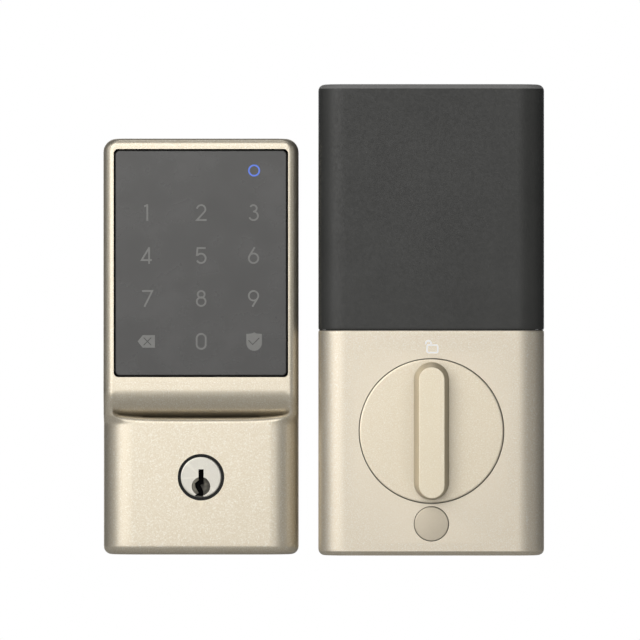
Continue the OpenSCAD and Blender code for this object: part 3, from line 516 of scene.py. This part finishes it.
TOP_DROP, TOP_CORNER = 2.2, 5.0
FOOT_ROLL, FOOT_CORNER = 3.4, 3.0
SIDE_ROLL, SIDE_SOFTNESS = 3.4, 1.05
LOW_ROLL_W, LOW_ROLL_D = 10.5, 7.4
RIDGE_FOOT = SCOOP_LEDGE - 0.1
KP_COLUMNS = 96


def ledge(x):
    """Height of the scoop's ledge: it rises towards its ends like a smile."""
    u = min(abs(x) / SCOOP_HALF, 1)
    return SCOOP_LEDGE + 3.4 * (1 - (1 - u ** 3.5) ** (1 / 3.5))


def ridge_depth(z):
    """Depth of the housing's sides, which run down beside the scoop into the lower part."""
    return mix(KP_LOW_D, KP_D, ease(RIDGE_FOOT, SCOOP_ROLL_Z - 1, z))


def scoop_depth(x, z):
    """Depth of the face in the scoop: a round roll above, the lip of the lower part below."""
    top = ledge(x)
    if z >= SCOOP_ROLL_Z:
        return KP_D
    if z >= top:
        return KP_D - SCOOP_R + math.sqrt(SCOOP_R ** 2 - (SCOOP_ROLL_Z - z) ** 2)
    if z > top - LIP_R:
        return KP_LOW_D - LIP_R + math.sqrt(max(LIP_R ** 2 - (z - top + LIP_R) ** 2, 0))
    return KP_LOW_D


def keypad_point(side, part, t, z):
    """One point of the keypad housing's skin, on its back edge, a rolled corner or the face."""
    half = KP_W / 2 - quarter(z, FOOT_CORNER) - quarter(KP_H - z, TOP_CORNER)
    blend = ease(SCOOP_LEDGE - 2.6, SCOOP_LEDGE + 1.4, z)
    roll_w = mix(LOW_ROLL_W, SIDE_ROLL, blend)
    roll_d = mix(LOW_ROLL_D, SIDE_ROLL, blend)
    drop = quarter(z, FOOT_ROLL) + quarter(KP_H - z, TOP_DROP)
    depth = ridge_depth(z) - drop
    if part == "back":
        return side * half, KP_BACK
    if part == "roll":
        along, out = rolled(t, mix(SOFTNESS, SIDE_SOFTNESS, blend))
        return side * (half - roll_w + roll_w * along), -depth + roll_d - roll_d * out
    x = (half - roll_w) * t
    wall = ease(31.0, SCOOP_HALF + 0.4, abs(x))
    return x, -(mix(scoop_depth(x, z), ridge_depth(z), wall) - drop)


def keypad_level(z):
    """Points of the keypad housing's skin at one level; levels near the ledge follow its curve."""
    near = math.cos(math.pi / 2 * min(abs(z - SCOOP_LEDGE) / 9, 1)) ** 2
    row = []
    for side, part, t in KP_POINTS:
        x = keypad_point(side, part, t, z)[0]
        height = z + (ledge(x) - SCOOP_LEDGE) * near
        x, y = keypad_point(side, part, t, height)
        row.append((KP_X + x, y, KP_LOW[2] + height))
    return row


turns = corner_turns(12)
KP_POINTS = [(-1, "back", 0)] + [(-1, "roll", t) for t in turns]
KP_POINTS += [(1, "face", mix(2 * i / KP_COLUMNS - 1, -math.cos(math.pi * i / KP_COLUMNS), 0.6))
              for i in range(1, KP_COLUMNS)]
KP_POINTS += [(1, "roll", t) for t in reversed(turns)] + [(1, "back", 0)]

levels = end_rows(FOOT_ROLL) + [KP_H - row for row in end_rows(TOP_CORNER)]
levels += [6 + 2 * i for i in range(18)] + [63 + 5 * i for i in range(17)]
levels += [SCOOP_LEDGE + 0.25 * i for i in range(-32, 44) if i]
levels += [SCOOP_LEDGE - 0.02, SCOOP_LEDGE + 0.02, SCOOP_ROLL_Z, SCOOP_ROLL_Z + 1]
keypad = stacked("keypad_shell", [keypad_level(z) for z in sorted(levels)],
                 NICKEL, "nickel", stands_for=("keypad_housing",), sharp=32)


def room(levels):
    """Rings of the housing's hollow: each level is (height, depth, roll width, roll depth)."""
    rings = []
    for z, depth, roll_w, roll_d in levels:
        left, right = plan(ROOM_HALF_W, depth, roll_w, roll_d, 1, 6)
        rings.append([(KP_X + x, y, KP_LOW[2] + z) for x, y in left + right])
    return rings


def glass_outline(half_w, half_h, r):
    """Rounded rectangle about the middle of the glass."""
    return rounded_outline(KP_X - half_w, GLASS_MID - half_h, KP_X + half_w, GLASS_MID + half_h, r)


GLASS_MID = middle(GLASS_LOW, GLASS_HIGH, 2)
GLASS_JOINT = 0.62  # dark line around the glass
JOINT_HALF_W = (GLASS_HIGH[0] - GLASS_LOW[0]) / 2 + GLASS_JOINT
JOINT_HALF_H = (GLASS_HIGH[2] - GLASS_LOW[2]) / 2 + GLASS_JOINT
JOINT_CORNER = 1.7
POCKET_FLOOR = -21.4
WINDOW_HALF_W, WINDOW_HALF_H = 30, 39.9
BORE_END = -10
KEY_BORE_R = 8.6
ROOM_HALF_W = 33.5
LOW_ROOM, SHELF_ROOM, HIGH_ROOM = KP_LOW_D - 2.5, 13.2, 19.8  # depths below, at and above the scoop
cut(keypad, room([(2.5, LOW_ROOM, LOW_ROLL_W, LOW_ROLL_D), (47, LOW_ROOM, LOW_ROLL_W, LOW_ROLL_D),
                  (47.05, SHELF_ROOM, 1, 1), (61.1, SHELF_ROOM, 1, 1),
                  (61.15, HIGH_ROOM, 1, 1), (151, HIGH_ROOM, 1, 1)]))
cut(keypad, prism(glass_outline(JOINT_HALF_W, JOINT_HALF_H, JOINT_CORNER), -25, POCKET_FLOOR))
cut(keypad, prism(glass_outline(WINDOW_HALF_W, WINDOW_HALF_H, 1), -22, BORE_END))
cut(keypad, prism(circle(KP_X, KEY_Z, KEY_BORE_R), -KP_LOW_D - 1, BORE_END))
smooth(keypad, 32)


# --- Glass, numerals and marks -----------------------------------------------------------

def pane_rings(x0, z0, x1, z1, r, back, front, bevel, steps=4):
    """Rings of a flat rounded block whose front edge is rounded over."""
    rings = [[(x, back, z) for x, z in rounded_outline(x0, z0, x1, z1, r)]]
    for i in range(steps + 1):
        a = math.pi / 2 * i / steps
        inset = bevel * (1 - math.cos(a))
        y = front + bevel * (1 - math.sin(a))
        outline = rounded_outline(x0 + inset, z0 + inset, x1 - inset, z1 - inset,
                                  max(r - inset, 0.05))
        rings.append([(x, y, z) for x, z in outline])
    return rings


def ribbon(points, width, closed=False):
    """Left and right edge of a line of the given width, mitred at its corners."""
    left, right, n = [], [], len(points)
    for i, point in enumerate(points):
        before = points[(i - 1) % n] if closed or i else point
        after = points[(i + 1) % n] if closed or i < n - 1 else point
        a = Vector((point[0] - before[0], point[1] - before[1]))
        b = Vector((after[0] - point[0], after[1] - point[1]))
        a = a.normalized() if a.length else b.normalized()
        b = b.normalized() if b.length else a
        normal = Vector((-(a.y + b.y), a.x + b.x)).normalized()
        reach = width / 2 / max(normal.dot(Vector((-a.y, a.x))), 0.4)
        left.append((point[0] + normal.x * reach, point[1] + normal.y * reach))
        right.append((point[0] - normal.x * reach, point[1] - normal.y * reach))
    return left, right


STROKE_STEP = 0.008  # crossing strokes lie this much in front of one another


def print_lines(name, lines, width, front, back, look, slot, body="root"):
    """Printed lines with a little thickness; each line is (points, closed)."""
    verts, faces = [], []
    for points, closed in lines:
        left, right = ribbon(points, width, closed)
        start, n = len(verts), len(points)
        front -= STROKE_STEP
        for x, z in left:
            verts += [(x, front, z), (x, back, z)]
        for x, z in right:
            verts += [(x, front, z), (x, back, z)]
        for i in range(n if closed else n - 1):
            a, b = start + 2 * i, start + 2 * ((i + 1) % n)
            c, d = a + 2 * n, b + 2 * n
            faces += [(a, b, d, c), (a + 1, c + 1, d + 1, b + 1),
                      (a, a + 1, b + 1, b), (c, d, d + 1, c + 1)]
        if not closed:
            a, c = start, start + 2 * n
            faces += [(a, c, c + 1, a + 1)]
            a, c = start + 2 * (n - 1), start + 2 * (2 * n - 1)
            faces += [(a, a + 1, c + 1, c)]
    return piece(name, verts, faces, look, slot, body)


def hoop(name, rings, z0, z1, look, slot, body="root"):
    """Strip of even height between an outer and an inner line seen from above, open at its ends."""
    verts, n = [], len(rings[0])
    for z in (z0, z1):
        for ring in rings:
            verts += [(x, y, z) for x, y in ring]
    faces = []
    for i in range(n - 1):
        a, b, c, d = i, n + i, 2 * n + i, 3 * n + i
        faces += [(a, b, b + 1, a + 1), (c, c + 1, d + 1, d),
                  (a, a + 1, c + 1, c), (b, d, d + 1, b + 1)]
    for i in (0, n - 1):
        face = (i, 2 * n + i, 3 * n + i, n + i)
        faces.append(face if i == 0 else face[::-1])
    return piece(name, verts, faces, look, slot, body)


def plate(name, points, front, back, look, slot, body="root"):
    return stacked(name, prism(points, back, front), look, slot, body=body)


def flat_ring(name, outer, inner, front, back, look, slot):
    """Closed ring between an outer and an inner outline in x and z."""
    n = len(outer)
    loops = (outer, front), (inner, front), (inner, back), (outer, back)
    verts = [(x, y, z) for outline, y in loops for x, z in outline]
    faces = [(r * n + i, r * n + (i + 1) % n, (r + 1) % 4 * n + (i + 1) % n, (r + 1) % 4 * n + i)
             for r in range(4) for i in range(n)]
    return piece(name, verts, faces, look, slot)


glass_front = GLASS_LOW[1]
stacked("glass_pane", pane_rings(GLASS_LOW[0], GLASS_LOW[2], GLASS_HIGH[0], GLASS_HIGH[2], 1.6,
                                 GLASS_HIGH[1], glass_front, 0.35),
        GLASS, "glass", stands_for=("touch_glass",), sharp=60)

SEAL_FRONT = -23.1
outer, inner = [glass_outline(JOINT_HALF_W - inset, JOINT_HALF_H - inset, JOINT_CORNER - inset / 5)
                for inset in (0.02, GLASS_JOINT - 0.04)]
flat_ring("glass_seal", outer, inner, SEAL_FRONT, POCKET_FLOOR - 0.05, DEAD_BLACK, "rubber")

COLUMN_X, ROW = (-20.1, 0.1, 19.4), 15.83
ROW_TOP = KP_LOW[2] + 126.2
LIGHT_Z = KP_LOW[2] + 141.7
PRINT = glass_front - 0.03, glass_front + 0.05  # front and back of what is printed on the glass
DRAWN = glass_front - 0.06, glass_front  # the same for lines drawn over a printed mark
STROKE = 0.62
HIGH, WIDE = 2.75, 1.68
GLYPHS = {
    "1": [[(-0.78, 2.30), (0.33, 2.78)], [(0.33, 3.06), (0.33, -3.06)]],
    "2": [arc(0.0, 1.22, 1.55, 1.53, 172, -32, 20) + [(-1.55, -HIGH), (1.98, -HIGH)]],
    "3": [arc(-0.05, 1.58, 1.22, 1.17, 155, -80, 18), arc(0.0, -1.2, 1.62, 1.58, 96, -160, 24)],
    "4": [[(1.0, 3.06), (1.0, -3.06)], [(0.95, 2.75), (-1.75, -1.68), (2.0, -1.68)]],
    "5": [[(1.65, HIGH), (-1.35, HIGH), (-1.6, 0.15)]
          + arc(-0.05, -1.03, 1.7, 1.72, 137, -152, 24)],
    "6": [arc(0.0, -1.0, 1.75, 1.75, 0, 354, 40), [(0.42, 3.02), (-1.52, -0.1)]],
    "7": [[(-1.6, HIGH), (2.15, HIGH), (-0.72, -3.04)]],
    "8": [arc(0.0, 1.52, 1.27, 1.24, 0, 352, 32), arc(0.0, -1.16, 1.62, 1.58, 0, 354, 40)],
    "9": [arc(0.0, 1.0, 1.75, 1.75, 0, 354, 40), [(-0.42, -3.02), (1.52, 0.1)]],
    "0": [arc(0.0, 1.1, WIDE, 1.66, 0, 180, 20) + arc(0.0, -1.1, WIDE, 1.66, 180, 360, 20)],
}
CLOSED = {("6", 0), ("8", 0), ("8", 1), ("9", 0), ("0", 0)}


def numeral(glyph, column, row):
    x, z = KP_X + COLUMN_X[column], ROW_TOP - row * ROW
    lines = [(moved(points, x, z), (glyph, i) in CLOSED) for i, points in enumerate(GLYPHS[glyph])]
    print_lines("numeral_" + glyph, lines, STROKE, *PRINT, NUMERAL, "light_plastic")


for i, glyph in enumerate("123456789"):
    numeral(glyph, i % 3, i // 3)
numeral("0", 1, 3)

mark_z = ROW_TOP - 3 * ROW
erase_x = KP_X + COLUMN_X[0] - 0.06
erase = [(-3.15, 0), (-1.3, -2.3), (3.2, -2.3), (3.2, 2.3), (-1.3, 2.3)]
plate("erase_mark", moved(erase, erase_x, mark_z), *PRINT, NUMERAL, "light_plastic")
cross_x = erase_x + 0.45
cross = [([(cross_x + s * 1.4, mark_z + 1.4), (cross_x - s * 1.4, mark_z - 1.4)], False)
         for s in (-1, 1)]
print_lines("erase_cross", cross, 0.34, *DRAWN, GLASS, "glass")

shield_x = KP_X + COLUMN_X[2] + 0.2
shield = [(0, 3.35), (-0.9, 2.95), (-2.85, 2.75), (-2.85, -0.5)]
shield += arc(0, -0.7, 2.85, 2.75, 180, 270, 8)[1:]
shield += [(-x, z) for x, z in shield[::-1][1:-1]]
plate("shield_mark", moved(shield, shield_x, mark_z), *PRINT, NUMERAL, "light_plastic")
tick = moved([(-2.05, 0.45), (-0.5, -1.15), (1.9, 1.3)], shield_x, mark_z)
print_lines("shield_tick", [(tick, False)], 0.36, *DRAWN, GLASS, "glass")

light_ring = moved(arc(0, 0, 1.92, 1.92, 0, 352.5, 47), shield_x, LIGHT_Z)
print_lines("status_light", [(light_ring, True)], 0.6, glass_front - 0.04, glass_front + 0.05,
            RING, "ring_light")


# --- Key cylinder ------------------------------------------------------------------------

HEAD_R = (PLUG_HIGH[0] - PLUG_LOW[0]) / 2
PLUG_FRONT, PLUG_END = PLUG_LOW[1], PLUG_HIGH[1]
HEAD_END = PLUG_FRONT + 7.25
SHANK_R = 6.35
profile = [(0, PLUG_FRONT), (HEAD_R - 0.5, PLUG_FRONT), (HEAD_R - 0.25, PLUG_FRONT),
           (HEAD_R - 0.07, PLUG_FRONT + 0.07), (HEAD_R, PLUG_FRONT + 0.25), (HEAD_R, HEAD_END),
           (SHANK_R, HEAD_END), (SHANK_R, PLUG_END - 0.6), (SHANK_R - 0.6, PLUG_END), (0, PLUG_END)]
plug = lathe("plug_turned", profile, KP_X, KEY_Z, PLUG, "plug_metal", body="key_plug",
             stands_for=("cylinder_plug",), sharp=30)
DIMPLE_R = 3.42
DIMPLE_Z = KEY_Z - 3.35
dimple = [(DIMPLE_R, -0.5), (DIMPLE_R, 0), (DIMPLE_R - 0.1, 0.25), (DIMPLE_R - 0.6, 1.1),
          (DIMPLE_R - 1.4, 2.1), (DIMPLE_R - 2.6, 3.1), (0.05, 3.5)]
cut(plug, turned([(r, PLUG_FRONT + depth) for r, depth in dimple], KP_X, DIMPLE_Z, 64))
KEYWAY = [(-0.95, 2.93), (-0.92, -1.1), (-2.3, -2.3), (-2.1, -3.7), (-0.82, -5.8), (-2.3, -6.75),
          (-2.25, -7.3), (0.9, -7.4), (0.86, -5.46), (-0.25, -2.87), (0.95, -2.35), (0.98, 2.93)]
KEYWAY_END = PLUG_FRONT + 7
cut(plug, prism(moved(KEYWAY, KP_X, KEY_Z), PLUG_FRONT - 1, KEYWAY_END))
smooth(plug, 30)
# A dead black sheet in the keyway: painted shadow where the slot runs deep.
dark = [(x, max(z, -6.9)) for x, z in KEYWAY]
plate("keyway_painted_shadow", moved(dark, KP_X, KEY_Z), PLUG_FRONT + 2.2, KEYWAY_END,
      DEAD_BLACK, "black_plastic", body="key_plug")

SEAL_R = (SEAL_HIGH[0] - SEAL_LOW[0]) / 2
SEAL_BORE_R, SEAL_LIP_R, SEAL_STEP = HEAD_R + 0.06, 8.5, -16.4
lathe("seal_ring", [(SEAL_BORE_R, SEAL_LOW[1] + 0.15), (HEAD_R + 0.25, SEAL_LOW[1]),
                    (SEAL_LIP_R - 0.2, SEAL_LOW[1]), (SEAL_LIP_R, SEAL_LOW[1] + 0.2),
                    (SEAL_LIP_R, SEAL_STEP), (SEAL_R, SEAL_STEP + 0.1), (SEAL_R, SEAL_HIGH[1]),
                    (SEAL_BORE_R, SEAL_HIGH[1]), (SEAL_BORE_R, SEAL_LOW[1] + 0.15)],
      KP_X, KEY_Z, RUBBER, "rubber", stands_for=("cylinder_seal",), sharp=40)


# --- Inside unit -------------------------------------------------------------------------

CASE_ROLL_W, CASE_ROLL_D, CASE_BEVEL, CASE_CORNER = 10.0, 7.0, 1.6, 2.4
CASE_FOOT = CASE_LOW[2]
CASE_WALL = 2.4
HOLLOW_ROLL_W, HOLLOW_ROLL_D = 6.6, 4.6
RIM_H = 0.9  # height over which the rims at the parting line are rounded


def case_level(z, height, edge, low_end, high_end):
    """One level of a case shell; its closed ends are bevelled, its open ends lightly broken."""
    half = CASE_W / 2
    depth = CASE_D
    for distance, closed in ((z, low_end), (height - z, high_end)):
        if closed:
            half -= quarter(distance, CASE_CORNER)
            depth -= max(CASE_BEVEL - distance, 0)
        else:
            half -= quarter(distance / RIM_H, 1) * edge
            depth -= quarter(distance / RIM_H, 1) * edge
    left, right = plan(half, depth, CASE_ROLL_W, CASE_ROLL_D, CASE_HIGH[1], 20)
    return left + right


def case_shell(name, foot, top, look, slot, body, stands_for, low_end, high_end, edge):
    """Hollow shell between two heights; low_end and high_end say which ends are closed."""
    height = top - foot
    ends = [0, 0.06, 0.15, 0.3, 0.5, 0.7, 0.9, 1.1, 1.3, CASE_BEVEL, 1.8, 2.4, 4]
    heights = sorted(set(ends + [height / 2] + [height - e for e in ends]))
    rings = [[(CASE_X + x, y, foot + z) for x, y in case_level(z, height, edge, low_end, high_end)]
             for z in heights]
    shell = stacked(name, rings, look, slot, body=body, stands_for=stands_for, sharp=24)
    half, depth = CASE_W / 2 - CASE_WALL, CASE_D - CASE_WALL
    hollow = []
    for z in (foot + CASE_WALL if low_end else foot - 1, top - CASE_WALL if high_end else top + 1):
        left, right = plan(half, depth, HOLLOW_ROLL_W, HOLLOW_ROLL_D, 1)
        hollow.append([(CASE_X + x, y, z) for x, y in left + right])
    cut(shell, hollow)
    return shell


case = case_shell("case_lower", CASE_FOOT, CASE_HIGH[2], NICKEL_CASE, "nickel", "root",
                  ("lower_housing",), True, False, 0.25)
WALL_CUT = -40, -25  # through the front wall of the case
BUTTON_HOLE_R = 6.5
DISH_R, DISH_BORE_R = DISC_R + 0.3, 12
DISH_FRONT, DISH_FLOOR, DISH_END = -31.7, -29.7, -27.7
cut(case, prism(circle(CASE_X, TURN_Z, DISH_R, 128), *WALL_CUT))
cut(case, prism(circle(CASE_X, BUTTON_Z, BUTTON_HOLE_R), *WALL_CUT))
smooth(case, 24)
lathe("turn_dish", [(DISH_R, DISH_FRONT), (DISC_R + 2.3, DISH_FRONT), (DISC_R + 2.3, DISH_END),
                    (DISH_BORE_R, DISH_END), (DISH_BORE_R, DISH_FLOOR), (DISH_R, DISH_FLOOR),
                    (DISH_R, DISH_FRONT)],
      CASE_X, TURN_Z, NICKEL_SMOOTH, "nickel", steps=128)
cover = case_shell("cover_shell", COVER_LOW[2], COVER_HIGH[2], BLACK, "black_plastic", "cover",
                   ("battery_cover",), False, True, 0.2)
smooth(cover, 24)
seal_rings = []
for inset in (0.45, 1.5):
    left, right = plan(CASE_W / 2 - inset, CASE_D - inset, CASE_ROLL_W - inset, CASE_ROLL_D - inset,
                       CASE_HIGH[1] - 0.5, 20)
    seal_rings.append([(CASE_X + x, y) for x, y in left + right])
hoop("parting_seal", seal_rings, CASE_HIGH[2] - 0.02, COVER_LOW[2] - 0.03, RUBBER, "rubber")


# --- Thumbturn ---------------------------------------------------------------------------

DISC_FRONT, DISC_END = DISC_LOW[1], DISC_HIGH[1]
HUB_R = 11
lathe("turn_disc", [(0, DISC_FRONT), (DISC_R - 0.8, DISC_FRONT), (DISC_R - 0.3, DISC_FRONT),
                    (DISC_R - 0.1, DISC_FRONT + 0.08), (DISC_R, DISC_FRONT + 0.3),
                    (DISC_R, DISC_FRONT + 4), (HUB_R, DISC_FRONT + 4), (HUB_R, DISC_END),
                    (0, DISC_END)],
      CASE_X, TURN_Z, NICKEL_DISC, "nickel", body="turn", steps=128,
      stands_for=("thumbturn_disc",), sharp=30)


def stadium(half_w, top, bottom, n=20):
    """Upright bar with round ends between two heights."""
    points = arc(CASE_X, top - half_w, half_w, half_w, 0, 180, n)
    return points + arc(CASE_X, bottom + half_w, half_w, half_w, 180, 360, n)


GRIP_FRONT, GRIP_W = GRIP_LOW[1], (GRIP_HIGH[0] - GRIP_LOW[0]) / 2
GRIP_RISE = 12  # height that the levels are given for, each as (rise, inset, inset of the low end)
grip_levels = [(0, 0, 0), (0.1, 0.02, 0.02), (2.0, 0.28, 0.1), (11.2, 1.55, 0.62),
               (11.75, 1.66, 0.70), (11.92, 1.78, 0.80), (GRIP_RISE, 2.0, 1.0)]
grip = []
for rise, inset, low_inset in grip_levels:
    y = DISC_FRONT - rise * (DISC_FRONT - GRIP_FRONT) / GRIP_RISE
    grip.append([(x, y, z) for x, z in stadium(GRIP_W - inset, GRIP_HIGH[2] - inset,
                                               GRIP_LOW[2] + low_inset)])
stacked("turn_grip", grip, NICKEL_GRIP, "nickel", body="turn", stands_for=("thumbturn_grip",),
        sharp=26)

BUTTON_R = 6.3
BUTTON_FRONT, BUTTON_END = BUTTON_LOW[1], BUTTON_HIGH[1]
FLANGE_R, FLANGE_FRONT, FLANGE_END = 7.3, -31.55, -30.6
STEM_R = 1.4
lathe("button_cap", [(0, BUTTON_FRONT), (BUTTON_R - 0.35, BUTTON_FRONT),
                     (BUTTON_R - 0.1, BUTTON_FRONT + 0.1), (BUTTON_R, BUTTON_FRONT + 0.35),
                     (BUTTON_R, FLANGE_FRONT), (FLANGE_R, FLANGE_FRONT), (FLANGE_R, FLANGE_END),
                     (STEM_R, FLANGE_END), (STEM_R, BUTTON_END), (0, BUTTON_END)],
      CASE_X, BUTTON_Z, NICKEL_SMOOTH, "button_metal", body="button", stands_for=("set_button",),
      sharp=30)

case_front = -CASE_D
lock_x, lock_z = CASE_X + 0.35, KP_LOW[2] + 76.0
lock_body = rounded_outline(lock_x - 1.95, lock_z - 1.38, lock_x + 1.95, lock_z + 1.38, 0.5, 4)
shackle = arc(lock_x - 1.45, lock_z + 1.9, 1.0, 1.1, 190, 0, 12) + [(lock_x - 0.45, lock_z + 1.4)]
# Its material gives the printed mark a faint painted glow.
print_lines("lock_mark", [(lock_body, True), (shackle, False)], 0.56,
            case_front - 0.03, case_front + 0.05, GLOWING_MARK, "light_plastic")


# --- Floor, backdrop, light and camera ------------------------------------------------------

# From here on in metres
FLOOR_DROP = 0.047  # the lock hangs above the floor
floor_z = min(KP_LOW[2], CASE_FOOT) * MM - FLOOR_DROP
look_x, look_z = 0.0439, 0.0580  # middle of the picture


def surface(name, verts, look):
    mesh = bpy.data.meshes.new(name)
    mesh.from_pydata(verts, [], [(0, 1, 2, 3)])
    mesh.materials.append(look)
    new_object(name, mesh)


surface("floor", [(-1.2, -1.6, floor_z), (1.2, -1.6, floor_z), (1.2, 0.30, floor_z),
                  (-1.2, 0.30, floor_z)],
        matt_paint("pale_floor", (0.90, 0.90, 0.89)))


def lamp(name, place, size, power, colour=(1, 1, 1)):
    """Square area lamp that faces the lock."""
    light = bpy.data.lights.new(name, "AREA")
    light.shape = "RECTANGLE"
    light.size = light.size_y = size
    light.energy = power
    light.color = colour
    obj = new_object(name, light)
    obj.location = place
    centre = Vector((look_x, -0.02, look_z))
    obj.rotation_euler = (centre - Vector(place)).to_track_quat("-Z", "Y").to_euler()


lamp("front_softbox", (-0.42, -1.50, 0.33), 1.3, 12.7, (1.0, 0.985, 0.965))
lamp("key_light", (-1.0, -0.55, 0.45), 0.6, 0.75, (1.0, 0.985, 0.96))
lamp("top_light", (0.0, -0.25, 1.2), 0.7, 1.2)
lamp("right_fill", (1.05, -0.95, 0.15), 0.6, 0.4, (1.0, 0.98, 0.95))

world = bpy.data.worlds.new("studio")
bpy.context.scene.world = world
world.use_nodes = True
tree = world.node_tree
tree.nodes.clear()


def maths(operation, a, b):
    node = tree.nodes.new("ShaderNodeMath")
    node.operation = operation
    for socket, value in ((node.inputs[0], a), (node.inputs[1], b)):
        if isinstance(value, bpy.types.NodeSocket):
            tree.links.new(value, socket)
        else:
            socket.default_value = value
    return node.outputs[0]


def background(colour, strength):
    node = tree.nodes.new("ShaderNodeBackground")
    node.inputs["Color"].default_value = (*colour, 1)
    node.inputs["Strength"].default_value = strength
    return node.outputs[0]


# White to the camera; reflections see white only in a cone behind the lock, and a dim room around
BEHIND = 0.88
path = tree.nodes.new("ShaderNodeLightPath")
direction = tree.nodes.new("ShaderNodeSeparateXYZ")
tree.links.new(tree.nodes.new("ShaderNodeTexCoord").outputs["Generated"], direction.inputs[0])
behind = maths("GREATER_THAN", direction.outputs["Y"], BEHIND)
mirrored = maths("MAXIMUM", path.outputs["Is Glossy Ray"], path.outputs["Is Transmission Ray"])
shows = maths("MAXIMUM", path.outputs["Is Camera Ray"], maths("MULTIPLY", mirrored, behind))
seen = background((1, 1, 1), 1.0)
around = background((0.96, 0.98, 1.0), 0.10)
choose = tree.nodes.new("ShaderNodeMixShader")
output = tree.nodes.new("ShaderNodeOutputWorld")
tree.links.new(shows, choose.inputs[0])
tree.links.new(around, choose.inputs[1])
tree.links.new(seen, choose.inputs[2])
tree.links.new(choose.outputs[0], output.inputs["Surface"])

camera_data = bpy.data.cameras.new("camera")
camera = new_object("camera", camera_data)
bpy.context.scene.camera = camera
DISTANCE, FACE_Y, VIEW_W = 3.2, -0.024, 0.2359  # the picture is VIEW_W wide at the faces' plane
camera.location = (look_x, FACE_Y - DISTANCE, look_z)
camera.rotation_euler = (math.radians(90), 0, 0)
camera_data.sensor_width = 36
camera_data.lens = camera_data.sensor_width * DISTANCE / VIEW_W
camera_data.clip_end = 50
bpy.context.scene.view_settings.view_transform = "Standard"
